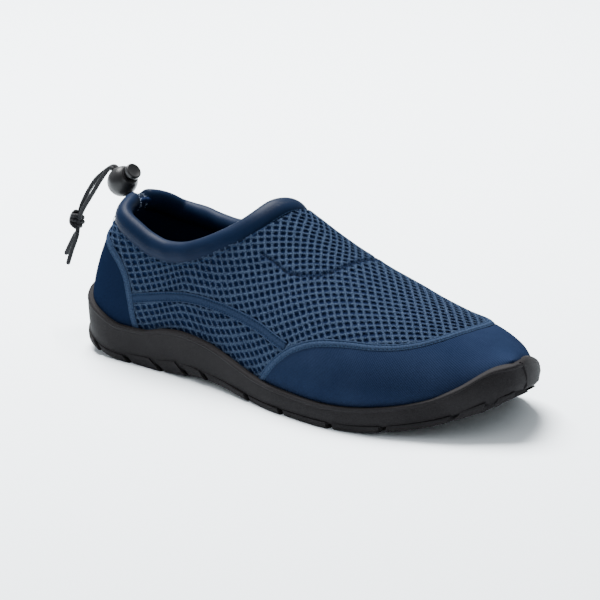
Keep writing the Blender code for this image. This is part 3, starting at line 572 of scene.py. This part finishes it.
def on_net(run, down):
    """(along, side, quarter) of a place on the flat net: millimetres along it and down from the ridge."""
    side = np.where(down < 0, INNER, OUTER)
    down = np.abs(down)
    pull = 0.52 * np.clip((165 - run) / 75, 0, 1)
    at = run - pull * (down - 40)
    along = np.interp(np.where(at < 70, 70 - (70 - at) * 0.76, at), path, path_along)
    at = np.clip(along / 0.9 * 599, 0, 598.999)
    low = at.astype(int)
    quarter = np.empty_like(along)
    for s in (OUTER, INNER):
        for i in np.unique(low[side == s]):
            pick = (side == s) & (low == i)
            rows = [np.interp(down[pick], arcs[s][k], arc_quarters) for k in (i, i + 1)]
            quarter[pick] = rows[0] + (rows[1] - rows[0]) * (at[pick] - i)
    return along, side, quarter


net_paint = Paint("navy_net", 0.75, Specular_IOR_Level=0.0)
run, down = net_paint.laid()
# Painted light: the yarn is drawn lighter on its crests (painted highlight) and darker down into the holes
# and along the vamp's seam (painted shade), over its own fibres and speckle.
height = net_paint.painted_light()
fibre = ((run + down * 1.25) * 9.0).sine() * ((run - down * 1.25) * 9.0).sine()
speckle = net_paint.noise(2200, 2)
bright = (height * 0.50 + fibre * 0.22 + (speckle - 0.5) * 2.6).clipped()
net_paint.colour(net_paint.mix(bright, (0.0030, 0.0078, 0.0240), (0.056, 0.080, 0.125)))
net_paint.relief(fibre * 0.5 + speckle, 0.22 * MM)
border = []
for k in range(CORNERS):
    edge, share = divmod(k, 4)
    corners = [(PITCH / 2, 0), (0, ROW), (-PITCH / 2, 0), (0, -ROW)]
    a, b = np.array(corners[edge]), np.array(corners[(edge + 1) % 4])
    border.append(a + (b - a) * share / 4)
border = np.array(border)
angles = np.arctan2(border[:, 1] / ROW, border[:, 0] / (PITCH / 2))
hole = np.stack([HOLE_LONG * np.cos(angles), HOLE_SHORT * np.sin(angles)], -1)
centres = np.array([
    (PITCH * (i + (j % 2) / 2), ROW * j) for j in range(-48, 49) for i in range(-8, 50)
])
along, side, quarter = on_net(centres[:, 0], centres[:, 1])
keep = net_shows(along, side, quarter) | net_shows(along - 0.006, side, quarter + 0.02)
keep |= net_shows(along + 0.008, side, quarter + 0.02) | net_shows(along, side, quarter - 0.03)
centres = centres[keep]
random.seed(7)
wobble = np.array([(random.uniform(-0.12, 0.12), random.uniform(-0.10, 0.10)) for _ in centres])
size = np.array([random.uniform(0.92, 1.08) for _ in centres])
along, side, quarter = on_net(centres[:, 0], centres[:, 1])
size *= 1 - 0.5 * np.exp(-(seam_distance(along, quarter) / 2.2) ** 2)
# From the crest between the holes down into one: shares of the cell's border and the hole, height, and
# painted light, which falls to painted shade deep in the hole.
levels = (
    (1.0, 0.0, 0.16, 1.0), (0.62, 0.38, 0.10, 0.85), (0.24, 0.76, -0.05, 0.45), (0.0, 1.0, -0.32, 0.05),
    (0.0, 1.02, -0.72, 0.0),
)
flat, lifts, painted_light = [], [], []
for outer_share, hole_share, lift, lit_share in levels:
    ring = border[None] * outer_share + (hole[None] * size[:, None, None] + wobble[:, None]) * hole_share
    flat.append(centres[:, None] + ring)
    lifts.append(np.full((len(centres), CORNERS), lift))
    painted_light.append(np.full((len(centres), CORNERS), lit_share))
flat = np.stack(flat, 1).reshape(-1, 2)
lifts, painted_light = np.stack(lifts, 1).ravel(), np.stack(painted_light, 1).ravel()
along, side, quarter = on_net(flat[:, 0], flat[:, 1])
points = lifted(along, side, quarter, lifts)
# Painted shade along the groove of the vamp's seam.
painted_light *= 1 - 0.95 * np.exp(-(seam_distance(along, quarter) / 1.3) ** 2)
shows = net_shows(along, side, quarter)
for half, name in ((OUTER, "net_right"), (INNER, "net_left")):
    faces = []
    for c in np.flatnonzero((centres[:, 1] < 0) == (half == INNER)):
        for r in range(len(levels) - 1):
            for k in range(CORNERS):
                a = (c * len(levels) + r) * CORNERS
                b, after = a + CORNERS, (k + 1) % CORNERS
                quad = (a + k, a + after, b + after, b + k)
                if shows[list(quad)].all():
                    faces.append(quad)
    net = put_mesh(name, points, faces, net_paint, flat, painted_light)
    bm = bmesh.new()
    bm.from_mesh(net.data)
    bmesh.ops.delete(bm, geom=[v for v in bm.verts if not v.link_faces], context="VERTS")
    bmesh.ops.remove_doubles(bm, verts=bm.verts, dist=2e-5)
    bm.to_mesh(net.data)
    bm.free()
    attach(net, "root")


# The toe panel and the heel counter are smooth navy cloths glued over the net. The toe panel is a fine
# twill, and both run under the tapes and down behind the rand.
PANEL_LIFT, PANEL_THICK = 0.30, 0.8


def panel(name, node, paint, stations, seam):
    """Skin from the rand up to a seam, on both sides of the last."""
    points, faces, laid = [], [], []
    rows = 40
    for side in (OUTER, INNER):
        foot = quarter_at(stations, rand_top(stations)) - 0.02
        head = seam(stations)
        share = np.linspace(0, 1, rows)[None]
        quarter = foot[:, None] + (np.maximum(head, foot) - foot)[:, None] * share
        along = np.repeat(stations[:, None], rows, 1)
        outer = lifted(along, side, quarter, PANEL_LIFT, False)
        inner = lifted(along, side, quarter, PANEL_LIFT - PANEL_THICK, False)
        reach = np.cumsum(np.r_[0, np.linalg.norm(np.diff(outer[:, 0], axis=0), axis=1)]) / MM
        climb = np.cumsum(np.concatenate([
            np.zeros((len(stations), 1)), np.linalg.norm(np.diff(outer, axis=1), axis=2)], 1), 1) / MM
        for layer in (outer, inner):
            faces += grid_faces(*along.shape, start=len(points))
            points += list(layer.reshape(-1, 3))
            laid += list(np.stack([np.broadcast_to(reach[:, None], along.shape), climb], -1).reshape(-1, 2))
        count = along.size
        first = len(points) - 2 * count
        rim = [(first + i * rows, first + (i + 1) * rows) for i in range(len(stations) - 1)]
        rim += [(a + rows - 1, b + rows - 1) for a, b in rim if head[(a - first) // rows] < 0.999]
        faces += [(a, b, b + count, a + count) for a, b in rim]
    piece = tidy(put_mesh(name, points, faces, paint, laid), 2e-6)
    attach(piece, "root")
    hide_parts(node)


def twill(name, dark, light, ribs, depth):
    """Cloth with diagonal ribs, a faint cloud and a fine grain."""
    paint = Paint(name, 0.72, Specular_IOR_Level=0.0)
    run, climb = paint.laid()
    rib = ((run * 0.72 + climb * 0.69) * ribs).sine() * 0.5 + 0.5
    cross = ((climb * 0.72 - run * 0.69) * ribs * 0.5).sine() * 0.5 + 0.5
    cloud, grain = paint.noise(55, 4), paint.noise(1700, 2)
    paint.colour(paint.mix((rib * 0.40 + grain * 0.45 + (cloud - 0.5) * 0.5 + 0.05).clipped(), dark, light))
    paint.relief(rib * 0.6 + cross * 0.2 + grain * 0.4, depth)
    return paint


def toe_head(along):
    return np.where(along >= 0.868, 1.0, read(TOE_SEAM, 1, along))


def counter_head(along):
    return read(COUNTER_SEAM[::-1], 1, along)


toe_paint = twill("navy_twill", (0.0030, 0.0062, 0.0180), (0.0140, 0.0220, 0.0460), 8.2, 0.16 * MM)
counter_paint = twill("navy_smooth", (0.0026, 0.0055, 0.0155), (0.0058, 0.0108, 0.0265), 13.0, 0.05 * MM)
TOE_FROM, COUNTER_TO = 0.531, 0.181
panel("toe_cloth", "toe_panel", toe_paint,
      TOE_FROM + (1 - TOE_FROM) * np.sin(np.linspace(0, math.pi / 2, 120)), toe_head)
panel("counter_cloth", "heel_counter", counter_paint,
      COUNTER_TO * (1 - np.cos(np.linspace(0, math.pi / 2, 70))), counter_head)


# Woven tapes cover the seams. Each has a flat middle between ribbed edges and is sewn down with a row of
# stitches in each groove. The tapes are lighter than the panels.
def seam_line(rows, side, step, mirrored=False):
    """Evenly spaced (along, side, quarter) places on a smooth line through a seam's rows."""
    marks = np.column_stack([np.arange(len(rows)), rows])
    at = np.linspace(0, len(rows) - 1, 900)
    along, quarter = read(marks, 1, at), read(marks, 2, at)
    sides = np.full(900, side)
    if mirrored:
        along, quarter = np.r_[along, along[-2::-1]], np.r_[quarter, quarter[-2::-1]]
        sides = np.r_[sides, -sides[-2::-1]]
    run = np.linalg.norm(np.diff(last(along, sides, quarter), axis=0), axis=1)
    run = np.r_[0, np.cumsum(run)]
    marks = np.linspace(0, run[-1], int(run[-1] / step) + 1)
    pick = np.searchsorted(run, marks).clip(0, len(run) - 1)
    return (np.interp(marks, run, along), sides[pick], np.interp(marks, run, quarter)), marks / MM


def seam_frame(places):
    """Points of a seam line, with the directions out of the cloth and across the line."""
    spots = lifted(*places, 0.0)
    out = facing(*places)
    ahead = np.gradient(spots, axis=0)
    across = np.cross(out, ahead)
    across /= np.linalg.norm(across, axis=1)[:, None]
    return spots, out, across


tape_paint = Paint("navy_tape", 0.72, Specular_IOR_Level=0.0)
run, _ = tape_paint.laid()
weave = (run * 7.5).sine() * 0.5 + 0.5
speckle = tape_paint.noise(1400, 2)
# Painted light: the tape is drawn darker in its grooves and at its edges (painted shade) and lighter on its
# ribs, over its own weave and speckle.
height = tape_paint.painted_light()
tape_paint.colour(tape_paint.mix(
    ((weave * 0.25 + (speckle - 0.5) * 1.2 + 0.48) * height).clipped(), (0.0025, 0.0060, 0.0180),
    (0.029, 0.044, 0.076)))
tape_paint.relief(weave * 0.6 + speckle * 0.5, 0.12 * MM)
SEAM_TAPE, SIDE_TAPE, TAPE_STEP = 4.4, 5.4, 0.7 * MM
EDGED = [(-1, -0.5), (-0.97, 0.45), (-0.86, 0.66), (-0.70, 0.60), (-0.60, 0.14), (-0.50, 0.62), (-0.30, 0.78)]
EDGED += [(0.0, 0.82)] + [(-w, h) for w, h in EDGED[::-1]]
FLAT = [(-1, -0.5), (-0.97, 0.35), (-0.90, 0.62), (-0.80, 0.60), (-0.72, 0.22), (-0.64, 0.12), (-0.55, 0.34),
        (-0.3, 0.42)]
FLAT += [(0.0, 0.44)] + [(-w, h) for w, h in FLAT[::-1]]
CAPPED = [(-1, -0.5), (-0.96, 0.50), (-0.84, 0.66), (-0.72, 0.14), (-0.58, 0.78), (-0.30, 0.98), (0.05, 0.98),
          (0.28, 0.80), (0.40, 0.14), (0.52, 0.52), (0.70, 0.66), (0.86, 0.58), (0.96, 0.40), (1, -0.5)]


def faced_out(piece):
    """Turn a closed piece's faces outwards."""
    bm = bmesh.new()
    bm.from_mesh(piece.data)
    bmesh.ops.recalc_face_normals(bm, faces=bm.faces)
    bm.to_mesh(piece.data)
    bm.free()
    return piece


def tape(name, node, places, marks, width, profile):
    """Strip with a shaped cross-section along a seam."""
    spots, out, across = seam_frame(places)
    rings = [spots + across * (w * width / 2 * MM) + out * (h * MM) for w, h in profile]
    points = np.stack(rings, 1).reshape(-1, 3)
    count = len(profile)
    faces = grid_faces(len(spots), count, wrap=True)
    faces += [tuple(range(count)), tuple(reversed(range(len(points) - count, len(points))))]
    laid = [(m, w * width / 2) for m in marks for w, _ in profile]
    # Painted shade from each profile point's height: grooves and edges dark, ribs light.
    painted_light = np.tile([min(max((h - 0.1) / 0.55, 0), 1) for _, h in profile], len(spots))
    piece = faced_out(put_mesh(name, points, faces, tape_paint, laid, painted_light))
    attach(piece, "root")
    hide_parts(node)


def over_rand(places, marks, margin):
    """The part of a seam line that lies above the rand."""
    along, side, quarter = places
    keep = quarter > quarter_at(along, rand_top(along)) - margin
    return (along[keep], side[keep], quarter[keep]), marks[keep]


toe_places, toe_marks = over_rand(*seam_line(TOE_SEAM, OUTER, TAPE_STEP, True), 0.02)
heel_places, heel_marks = over_rand(*seam_line(COUNTER_SEAM, OUTER, TAPE_STEP, True), 0.02)
tape("toe_tape", "toe_seam_tape", toe_places, toe_marks, SEAM_TAPE, CAPPED)
tape("heel_tape", "counter_tape", heel_places, heel_marks, SEAM_TAPE, EDGED)
side_lines = [seam_line(SIDE_SEAM, side, TAPE_STEP) for side in (INNER, OUTER)]
tape("side_tape_left", "side_tape_inner", *side_lines[0], SIDE_TAPE, FLAT)
tape("side_tape_right", "side_tape_outer", *side_lines[1], SIDE_TAPE, FLAT)


# Stitches are short thick threads, a little lighter than the cloth, but dark along the vamp's seam as painted
# shade of its groove. Rows of them run in the grooves of the tapes, along the vamp's seam and under the
# collar.
thread_paint = Paint("navy_thread", 0.6, Specular_IOR_Level=0.0)
thread_paint.flecked(2400, (0.0035, 0.009, 0.026), (0.030, 0.055, 0.105))
THREAD = [
    [(share, wide * math.cos(math.pi / 3 * k), wide * math.sin(math.pi / 3 * k)) for k in range(6)]
    for share, wide in ((-0.5, 0.25), (-0.34, 0.85), (0.0, 1.0), (0.34, 0.85), (0.5, 0.25))
]


def stitches(name, rows, paint=thread_paint):
    """Threads in a row of (spot, direction, outward direction, length, thickness in mm)."""
    points, faces = [], []
    for spot, ahead, out, long, thick in rows:
        ahead = ahead / np.linalg.norm(ahead)
        side = np.cross(ahead, out)
        side /= np.linalg.norm(side)
        out = np.cross(side, ahead)
        start = len(points)
        for ring in THREAD:
            for along, wide, high in ring:
                points.append(spot + ahead * (along * long * MM) + side * (wide * thick / 2 * MM)
                              + out * (high * thick / 2 * MM))
        faces += grid_faces(5, 6, start, wrap=True)
        faces += [tuple(reversed(range(start, start + 6))), tuple(range(start + 24, start + 30))]
    piece = faced_out(put_mesh(name, points, faces, paint))
    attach(piece, "root")


def stitch_row(places, offset, lift, thick, pitch=2.1, long=1.5):
    """Rows for stitches() beside a seam line, offset across it in millimetres."""
    spots, out, across = seam_frame(places)
    line = spots + across * (offset * MM) + out * (lift * MM)
    run = np.r_[0, np.cumsum(np.linalg.norm(np.diff(line, axis=0), axis=1))] / MM
    rows = []
    for at in np.arange(pitch / 2, run[-1] - pitch / 2, pitch):
        here, after = [np.array([np.interp(at + d, run, line[:, k]) for k in range(3)]) for d in (-0.2, 0.2)]
        face = np.array([np.interp(at, run, out[:, k]) for k in range(3)])
        rows.append(((here + after) / 2, after - here, face, long, thick))
    return rows


rows = stitch_row(toe_places, -1.60, 0.52, 0.42) + stitch_row(toe_places, 0.90, 0.46, 0.38)
rows += stitch_row(heel_places, -1.32, 0.46, 0.40) + stitch_row(heel_places, 1.32, 0.46, 0.40)
for places, _ in side_lines:
    rows += stitch_row(places, -1.73, 0.26, 0.38) + stitch_row(places, 1.73, 0.26, 0.38)
stitches("tape_stitches", rows)
vamp_places, _ = seam_line(VAMP_SEAM, OUTER, TAPE_STEP, True)
# The vamp's seam stitches are real threads, but their dark colour is painted shade of the seam's groove.
seam_shade_thread = Paint("seam_shade_thread", 0.8, Specular_IOR_Level=0.05)
seam_shade_thread.flecked(2400, (0.0008, 0.0022, 0.009), (0.004, 0.010, 0.026))
stitches("vamp_stitches", stitch_row(vamp_places, 0.0, 0.12, 0.62, 2.0, 1.7), seam_shade_thread)


# The collar is a foam roll in smooth stretch cloth, sewn to the net's top edge. It dips at the centre
# back, where the drawcord comes out of its channel.
collar_paint = Paint("navy_jersey", 0.46, Specular_IOR_Level=0.028)
run, over = collar_paint.laid()
knit = ((run * 9.0).sine() * (over * 9.0).sine()) * 0.5 + 0.5
cloud, grain = collar_paint.noise(70, 4), collar_paint.noise(1900, 2)
collar_paint.colour(collar_paint.mix(
    (knit * 0.15 + grain * 0.30 + (cloud - 0.5) * 0.7 + 0.25).clipped(), (0.0012, 0.0038, 0.0125),
    (0.0036, 0.0098, 0.0270)))
collar_paint.relief(knit * 0.3 + grain * 0.6, 0.06 * MM)
ROLL_HIGH, ROLL_WIDE = 12.0, 4.6
turns = np.linspace(0, 2 * math.pi, 361)[:-1]
along = THROAT * (1 - np.cos(turns)) / 2
side = np.where(turns <= math.pi, OUTER, INNER)
quarter = topline(along, side)
spots, out = last(along, side, quarter), facing(along, side, quarter)
ahead = np.roll(spots, -1, 0) - np.roll(spots, 1, 0)
ahead /= np.linalg.norm(ahead, axis=1)[:, None]
up = np.cross(out, ahead)
up /= np.linalg.norm(up, axis=1)[:, None]
back = np.sqrt(np.clip(1 - along / THROAT, 0, 1))
tall = ROLL_HIGH * np.where(side < 0, read(TOPLINE, 3, back), read(TOPLINE, 4, back))
run = np.r_[0, np.cumsum(np.linalg.norm(np.diff(spots, axis=0), axis=1))] / MM
centre = np.minimum(run, run[-1] - run)
front = run[-1] / 2 - centre
dip = np.exp(-((np.where(run > run[-1] / 2, run - run[-1], run) - 2.5) / 4.2) ** 6)
random.seed(11)
waves = [
    (random.uniform(0.15, 0.5), random.uniform(0, 6.3), random.randint(1, 3), random.uniform(0.008, 0.022))
    for _ in range(9)
]
around = np.linspace(0, 2 * math.pi, 33)[:-1]
spread = np.exp(-(np.arange(-24, 25) / 10) ** 2 / 2)


def eased(values):
    """Values round the collar, smoothed along it."""
    return sum(np.roll(values, k, 0) * w for k, w in zip(range(-24, 25), spread)) / spread.sum()


tall, spots, up, out = eased(tall), eased(spots), eased(up), eased(out)
spots[:, 0] -= 5.2 * MM * np.exp(-(centre / 15) ** 2)
spots += up * (2.1 * MM * np.exp(-(front / 18) ** 2))[:, None]
points, laid = [], []
for a in around:
    high, wide = np.sin(a) * tall / 2, np.cos(a) * np.full(len(along), ROLL_WIDE)
    puff = sum(size * np.sin(run * rate + phase + a * folds) for rate, phase, folds, size in waves)
    high = np.where(high > 0, high * (1 - 0.62 * dip), high * 1.18)
    wide = wide * (1 - 0.18 * dip)
    points.append(spots + up * ((0.3 + tall / 2 + high + puff * math.sin(a)) * MM)[:, None]
                  + out * ((1.6 - 4.5 + wide + puff * math.cos(a)) * MM)[:, None])
    laid.append(np.stack([run, np.full(len(run), a * 5.2)], -1))
points, laid = np.stack(points, 1), np.stack(laid, 1)
faces = grid_faces(len(along), len(around), wrap=True)
size = len(around)
close = (len(along) - 1) * size
faces += [(close + j, j, (j + 1) % size, close + (j + 1) % size) for j in range(size)]
collar = tidy(put_mesh("collar_roll", points.reshape(-1, 3), faces, collar_paint, laid.reshape(-1, 2)))
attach(collar, "root")
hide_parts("collar")

lower = spots + out * (1.0 * MM) - up * (0.5 * MM)
rows = [(lower[i], ahead[i], out[i], 1.6, 0.36) for i in range(0, 360, 2)]
stitches("collar_stitches", rows)

# The bar tacks at the centre back are pale blue threads, sewn close together on both sides of the dip.
tack_paint = Paint("pale_thread", 0.6)
tack_paint.flecked(2000, (0.02, 0.04, 0.09), (0.20, 0.26, 0.35))
rows = []
random.seed(3)
for row, sign in ((9, -1), (-1, 1)):
    for k in range(5, 18):
        for fray in range(2):
            slope = np.array((random.uniform(-0.5, 0.5), sign * 0.9, random.uniform(-0.6, 0.6)))
            spot = points[row, k] + np.array([random.uniform(-0.4, 0.4) for _ in range(3)]) * MM
            rows.append((spot, slope, points[row, k] - points[row].mean(0), random.uniform(0.8, 1.7), 0.30))
stitches("bar_tacks", rows, tack_paint)


# The insole is dark foam with a cloth face, which fills the footbed inside the upper.
def sole_wall(along, side, z, out):
    """Point of the sole's side at a height, some millimetres out from the last's plan."""
    along, side, z = np.broadcast_arrays(np.asarray(along, float), side, z)
    spot = last(along, side, quarter_at(along, z))
    flat = facing(along, side, quarter_at(along, rand_top(along)))
    flat[..., 2] = 0
    flat /= np.linalg.norm(flat, axis=-1)[..., None]
    spot = spot + flat * (np.broadcast_to(out, along.shape) * MM)[..., None]
    spot[..., 2] = z
    return spot


def ringed(name, stations, rings, paint, floors):
    """Closed body from rings on both sides of the last, bridged over its bottom and its top."""
    outer, inner = rings(stations, OUTER), rings(stations, INNER)
    share = np.linspace(0, 1, floors + 1)[1:-1, None, None]
    roof = outer[None, :, -1] + (inner[:, -1] - outer[:, -1])[None] * share
    floor = inner[None, :, 0] + (outer[:, 0] - inner[:, 0])[None] * share
    ring = np.concatenate([
        outer, np.moveaxis(roof, 0, 1), inner[:, ::-1], np.moveaxis(floor, 0, 1)], 1)
    count = ring.shape[1]
    faces = grid_faces(len(stations), count, wrap=True)
    for i, end in ((0, stations[0]), (len(stations) - 1, stations[-1])):
        if 1e-6 < end < 1 - 1e-6:
            faces.append(tuple(range(i * count, (i + 1) * count)))
    return put_mesh(name, ring.reshape(-1, 3), faces, paint)


foam_paint = Paint("dark_foam", 0.9, Specular_IOR_Level=0.0)
foam_paint.flecked(900, (0.003, 0.003, 0.004), (0.008, 0.008, 0.010))
foam_paint.relief(foam_paint.noise(1500), 0.12 * MM)


def insole_rings(along, side):
    base = FOOTBED * read(SECTIONS, 3, along)
    rows = []
    for rise_mm, out in ((0.0, -4.2), (0.5, -3.7), (3.4, -3.7), (3.9, -4.0), (4.05, -4.8)):
        spot = sole_wall(along, side, base, out)
        spot[..., 2] = base + rise_mm * MM
        rows.append(spot)
    return np.stack(rows, 1)


fine = (1 - np.cos(np.linspace(0, math.pi, 120))) / 2
insole = tidy(ringed("insole_foam", fine, insole_rings, foam_paint, 10), sharp=60)
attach(insole, "root")
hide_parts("insole")


# The outsole is one black rubber cup with a rounded lip round its top. Its tread blocks come up its sides
# as low scales with slanted ends, and a plain bumper guards the toe.
rubber_paint = Paint("black_rubber", 0.6, Specular_IOR_Level=0.02)
fleck, cloud = rubber_paint.noise(2300, 2), rubber_paint.noise(38, 4)
rubber_paint.colour(rubber_paint.mix(
    ((fleck - 0.5) * 1.3 + (cloud - 0.5) * 0.8 + 0.45).clipped(), (0.0060, 0.0055, 0.0060),
    (0.0200, 0.0190, 0.0200)))
rubber_paint.rough(cloud * 0.3 + 0.45)
rubber_paint.relief(fleck + cloud * 0.4, 0.10 * MM)
TREAD, SIDE_OUT, LUG_GAP = 2.4, 2.9, 1.7


def underside(along):
    """Height over the floor that the toe spring and the arch give the tread."""
    return 0.0165 * read(SOLE, 2, along)


# Along, then how far the tread's edge is cut back on the outer and on the inner side.
BEVELS = np.array([
    (0.00, 0.00, 0.00), (0.86, 0.00, 0.00), (0.90, 0.00, 0.55), (0.94, 0.00, 0.95), (0.985, 0.30, 1.00),
    (1.00, 0.95, 0.95),
])
# Start along the sole, the side face's height behind and in front, in treads, and the slant of the start.
LUGS = np.array([
    (0.000, 1.80, 1.80, 0.0), (0.090, 1.90, 1.40, 1.2), (0.168, 2.10, 2.35, 1.3), (0.254, 2.30, 2.45, 1.5),
    (0.322, 2.25, 1.60, 1.4), (0.381, 1.75, 1.20, 1.3), (0.512, 1.30, 1.20, 1.0), (0.611, 1.25, 1.35, 0.6),
    (0.731, 1.50, 1.35, 0.1), (0.828, 1.35, 1.60, -0.3), (0.930, 2.00, 2.20, -0.7), (0.980, 2.30, 2.30, -0.3),
    (1.000, 2.30, 2.30, 0.0),
])


def cup_rings(along, side):
    """Profile of the sole from the tread's root round the lip and down into the cavity."""
    under, top = underside(along) + TREAD * MM, rand_top(along)
    cut = read(BEVELS, 1 if side == OUTER else 2, along)
    rand = quarter_at(along, top)
    lip = 0.35 + 0.65 * np.clip(along / 0.16, 0, 1)
    rows = [sole_wall(along, side, z, out) for z, out in (
        (under, SIDE_OUT - 2.4 - 4.7 * cut), (under, SIDE_OUT - 0.8 - 4.7 * cut),
        (under + (1.2 + 2.6 * cut) * MM, SIDE_OUT - 1.5 * cut), (under * 0.6 + top * 0.4, SIDE_OUT + 0.30),
        (under * 0.25 + top * 0.75 - 1.0 * MM, SIDE_OUT + 0.15), (top - 2.35 * MM, SIDE_OUT - 0.05),
        (top - 2.00 * MM, SIDE_OUT + 0.30), (top - 1.60 * MM, 2.5 + 1.10 * lip),
        (top - 1.00 * MM, 2.3 + 1.40 * lip), (top - 0.45 * MM, 2.0 + 1.45 * lip),
        (top - 0.10 * MM, 1.7 + 1.20 * lip), (top, 1.4 + 0.80 * lip))]
    for share, lift in ((1.0, 0.35), (0.75, -0.2), (0.5, -0.4)):
        rows.append(lifted(along, side, rand * share, lift, False))
    foot = sole_wall(along, side, FOOTBED * read(SECTIONS, 3, along), -0.7)
    foot[..., 2] -= 0.3 * MM
    return np.stack(rows + [foot], 1)


fine = (1 - np.cos(np.linspace(0, math.pi, 220))) / 2
cup = tidy(ringed("sole_cup", fine, cup_rings, rubber_paint, 4), sharp=45)
parts = [cup]
for lug, after in zip(LUGS, LUGS[1:]):
    low = lug[0] + (LUG_GAP / LENGTH_MM if lug[0] > 0 else 0)
    high = after[0] - (LUG_GAP / LENGTH_MM if after[0] < 1 else 0)

    def lug_rings(along, side):
        """Profile of a tread block, from the floor up its side face and into the cup."""
        share = (along - low) / (high - low)
        cut = read(BEVELS, 1 if side == OUTER else 2, along)
        lift = 0.6 + 4.4 * cut
        rise_mm = np.maximum(TREAD * (lug[1] + (lug[2] - lug[1]) * share), lift + 1.2)
        slant = (lug[3] + (after[3] - lug[3]) * share) / LENGTH_MM
        out = SIDE_OUT + (1.0 * (0.25 + 0.75 * share) if lug[0] > 0 else 1.0)
        out = out - 1.9 * np.clip((along - 0.975) / 0.025, 0, 1)
        out = out - (2.2 * np.clip((along - 0.85) / 0.06, 0, 1) if side == INNER else 0)
        root = np.minimum(rise_mm + 0.5, (FOOTBED * read(SECTIONS, 3, along) - underside(along)) / MM - 0.9)
        rows = []
        for height, distance in (
                (0.0, out - 1.0 - 7.8 * cut), (lift * 0.5, out - 0.35 - 4.4 * cut),
                (lift, out - 0.1 - 0.6 * cut), ((lift + rise_mm) / 2, out), (rise_mm - 0.45, out),
                (rise_mm - 0.12, out - 0.15), (rise_mm, out - 0.5), (root, SIDE_OUT - 1.9)):
            rows.append(sole_wall(along - slant * height, side, underside(along) + height * MM, distance))
        return np.stack(rows, 1)

    shares = np.linspace(0, 1, max(8, int((high - low) * 120)))
    if lug[0] == 0:
        shares = 1 - np.cos(shares * math.pi / 2)
    if after[0] == 1:
        shares = np.sin(shares * math.pi / 2)
    parts.append(tidy(ringed("lug", low + (high - low) * shares, lug_rings, rubber_paint, 4), sharp=35))

bumper_along = np.linspace(0.9965, 0.948, 26)
bumper_rise = np.interp(
    bumper_along, [0.948, 0.963, 0.975, 0.985, 0.992, 0.9965], [0.9, 1.4, 1.1, 0.8, 0.5, 0.3])
low = underside(bumper_along) + 5.6 * MM
top = rand_top(bumper_along) + 2.2 * MM * bumper_rise
rows = [sole_wall(bumper_along, INNER, z, out) for z, out in (
    (low, 0.9), (low, 1.9), (low + 1.6 * MM, 3.2), ((low + top) / 2, 3.75), (top - 2.0 * MM, 3.85),
    (top - 0.9 * MM, 3.65), (top - 0.25 * MM, 3.1), (top, 2.4), (top - 2.0 * MM, 1.6))]
points = np.stack(rows, 1)
faces = grid_faces(26, 9, wrap=True) + [tuple(range(9)), tuple(range(225, 234))]
parts.append(tidy(put_mesh("bumper", points.reshape(-1, 3), faces, rubber_paint), sharp=40))
bpy.ops.object.select_all(action="DESELECT")
for piece in parts:
    piece.select_set(True)
bpy.context.view_layer.objects.active = cup
bpy.ops.object.join()
cup.name = "rubber_sole"
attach(cup, "root")
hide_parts("outsole")


# The floor is plain and pale, and the light is a soft white tent with one large lamp over the shoe.
floor_paint = Paint("pale_floor", 0.9, Specular_IOR_Level=0.1)
floor_paint.colour((0.84, 0.895, 0.930))
floor = put_mesh("floor", [(-6, -6, 0), (6, -6, 0), (6, 6, 0), (-6, 6, 0)], [(0, 1, 2, 3)], floor_paint)
world = bpy.data.worlds.new("tent")
world.use_nodes = True
world.node_tree.nodes["Background"].inputs["Color"].default_value = (0.93, 0.97, 1.0, 1)
world.node_tree.nodes["Background"].inputs["Strength"].default_value = 0.80
bpy.context.scene.world = world
for name, spot, size, power in (
        ("top_lamp", (-0.6, 0.35, 1.5), 1.0, 168.0), ("front_lamp", (1.3, -1.2, 1.0), 0.9, 2.0),
        ("side_lamp", (-1.2, -0.9, 0.9), 0.8, 2.0)):
    lamp = bpy.data.objects.new(name, bpy.data.lights.new(name, "AREA"))
    lamp.data.size, lamp.data.energy = size, power
    lamp.location = spot
    lamp.rotation_euler = (Vector((0.08, 0, 0.03)) - Vector(spot)).to_track_quat("-Z", "Y").to_euler()
    bpy.context.scene.collection.objects.link(lamp)
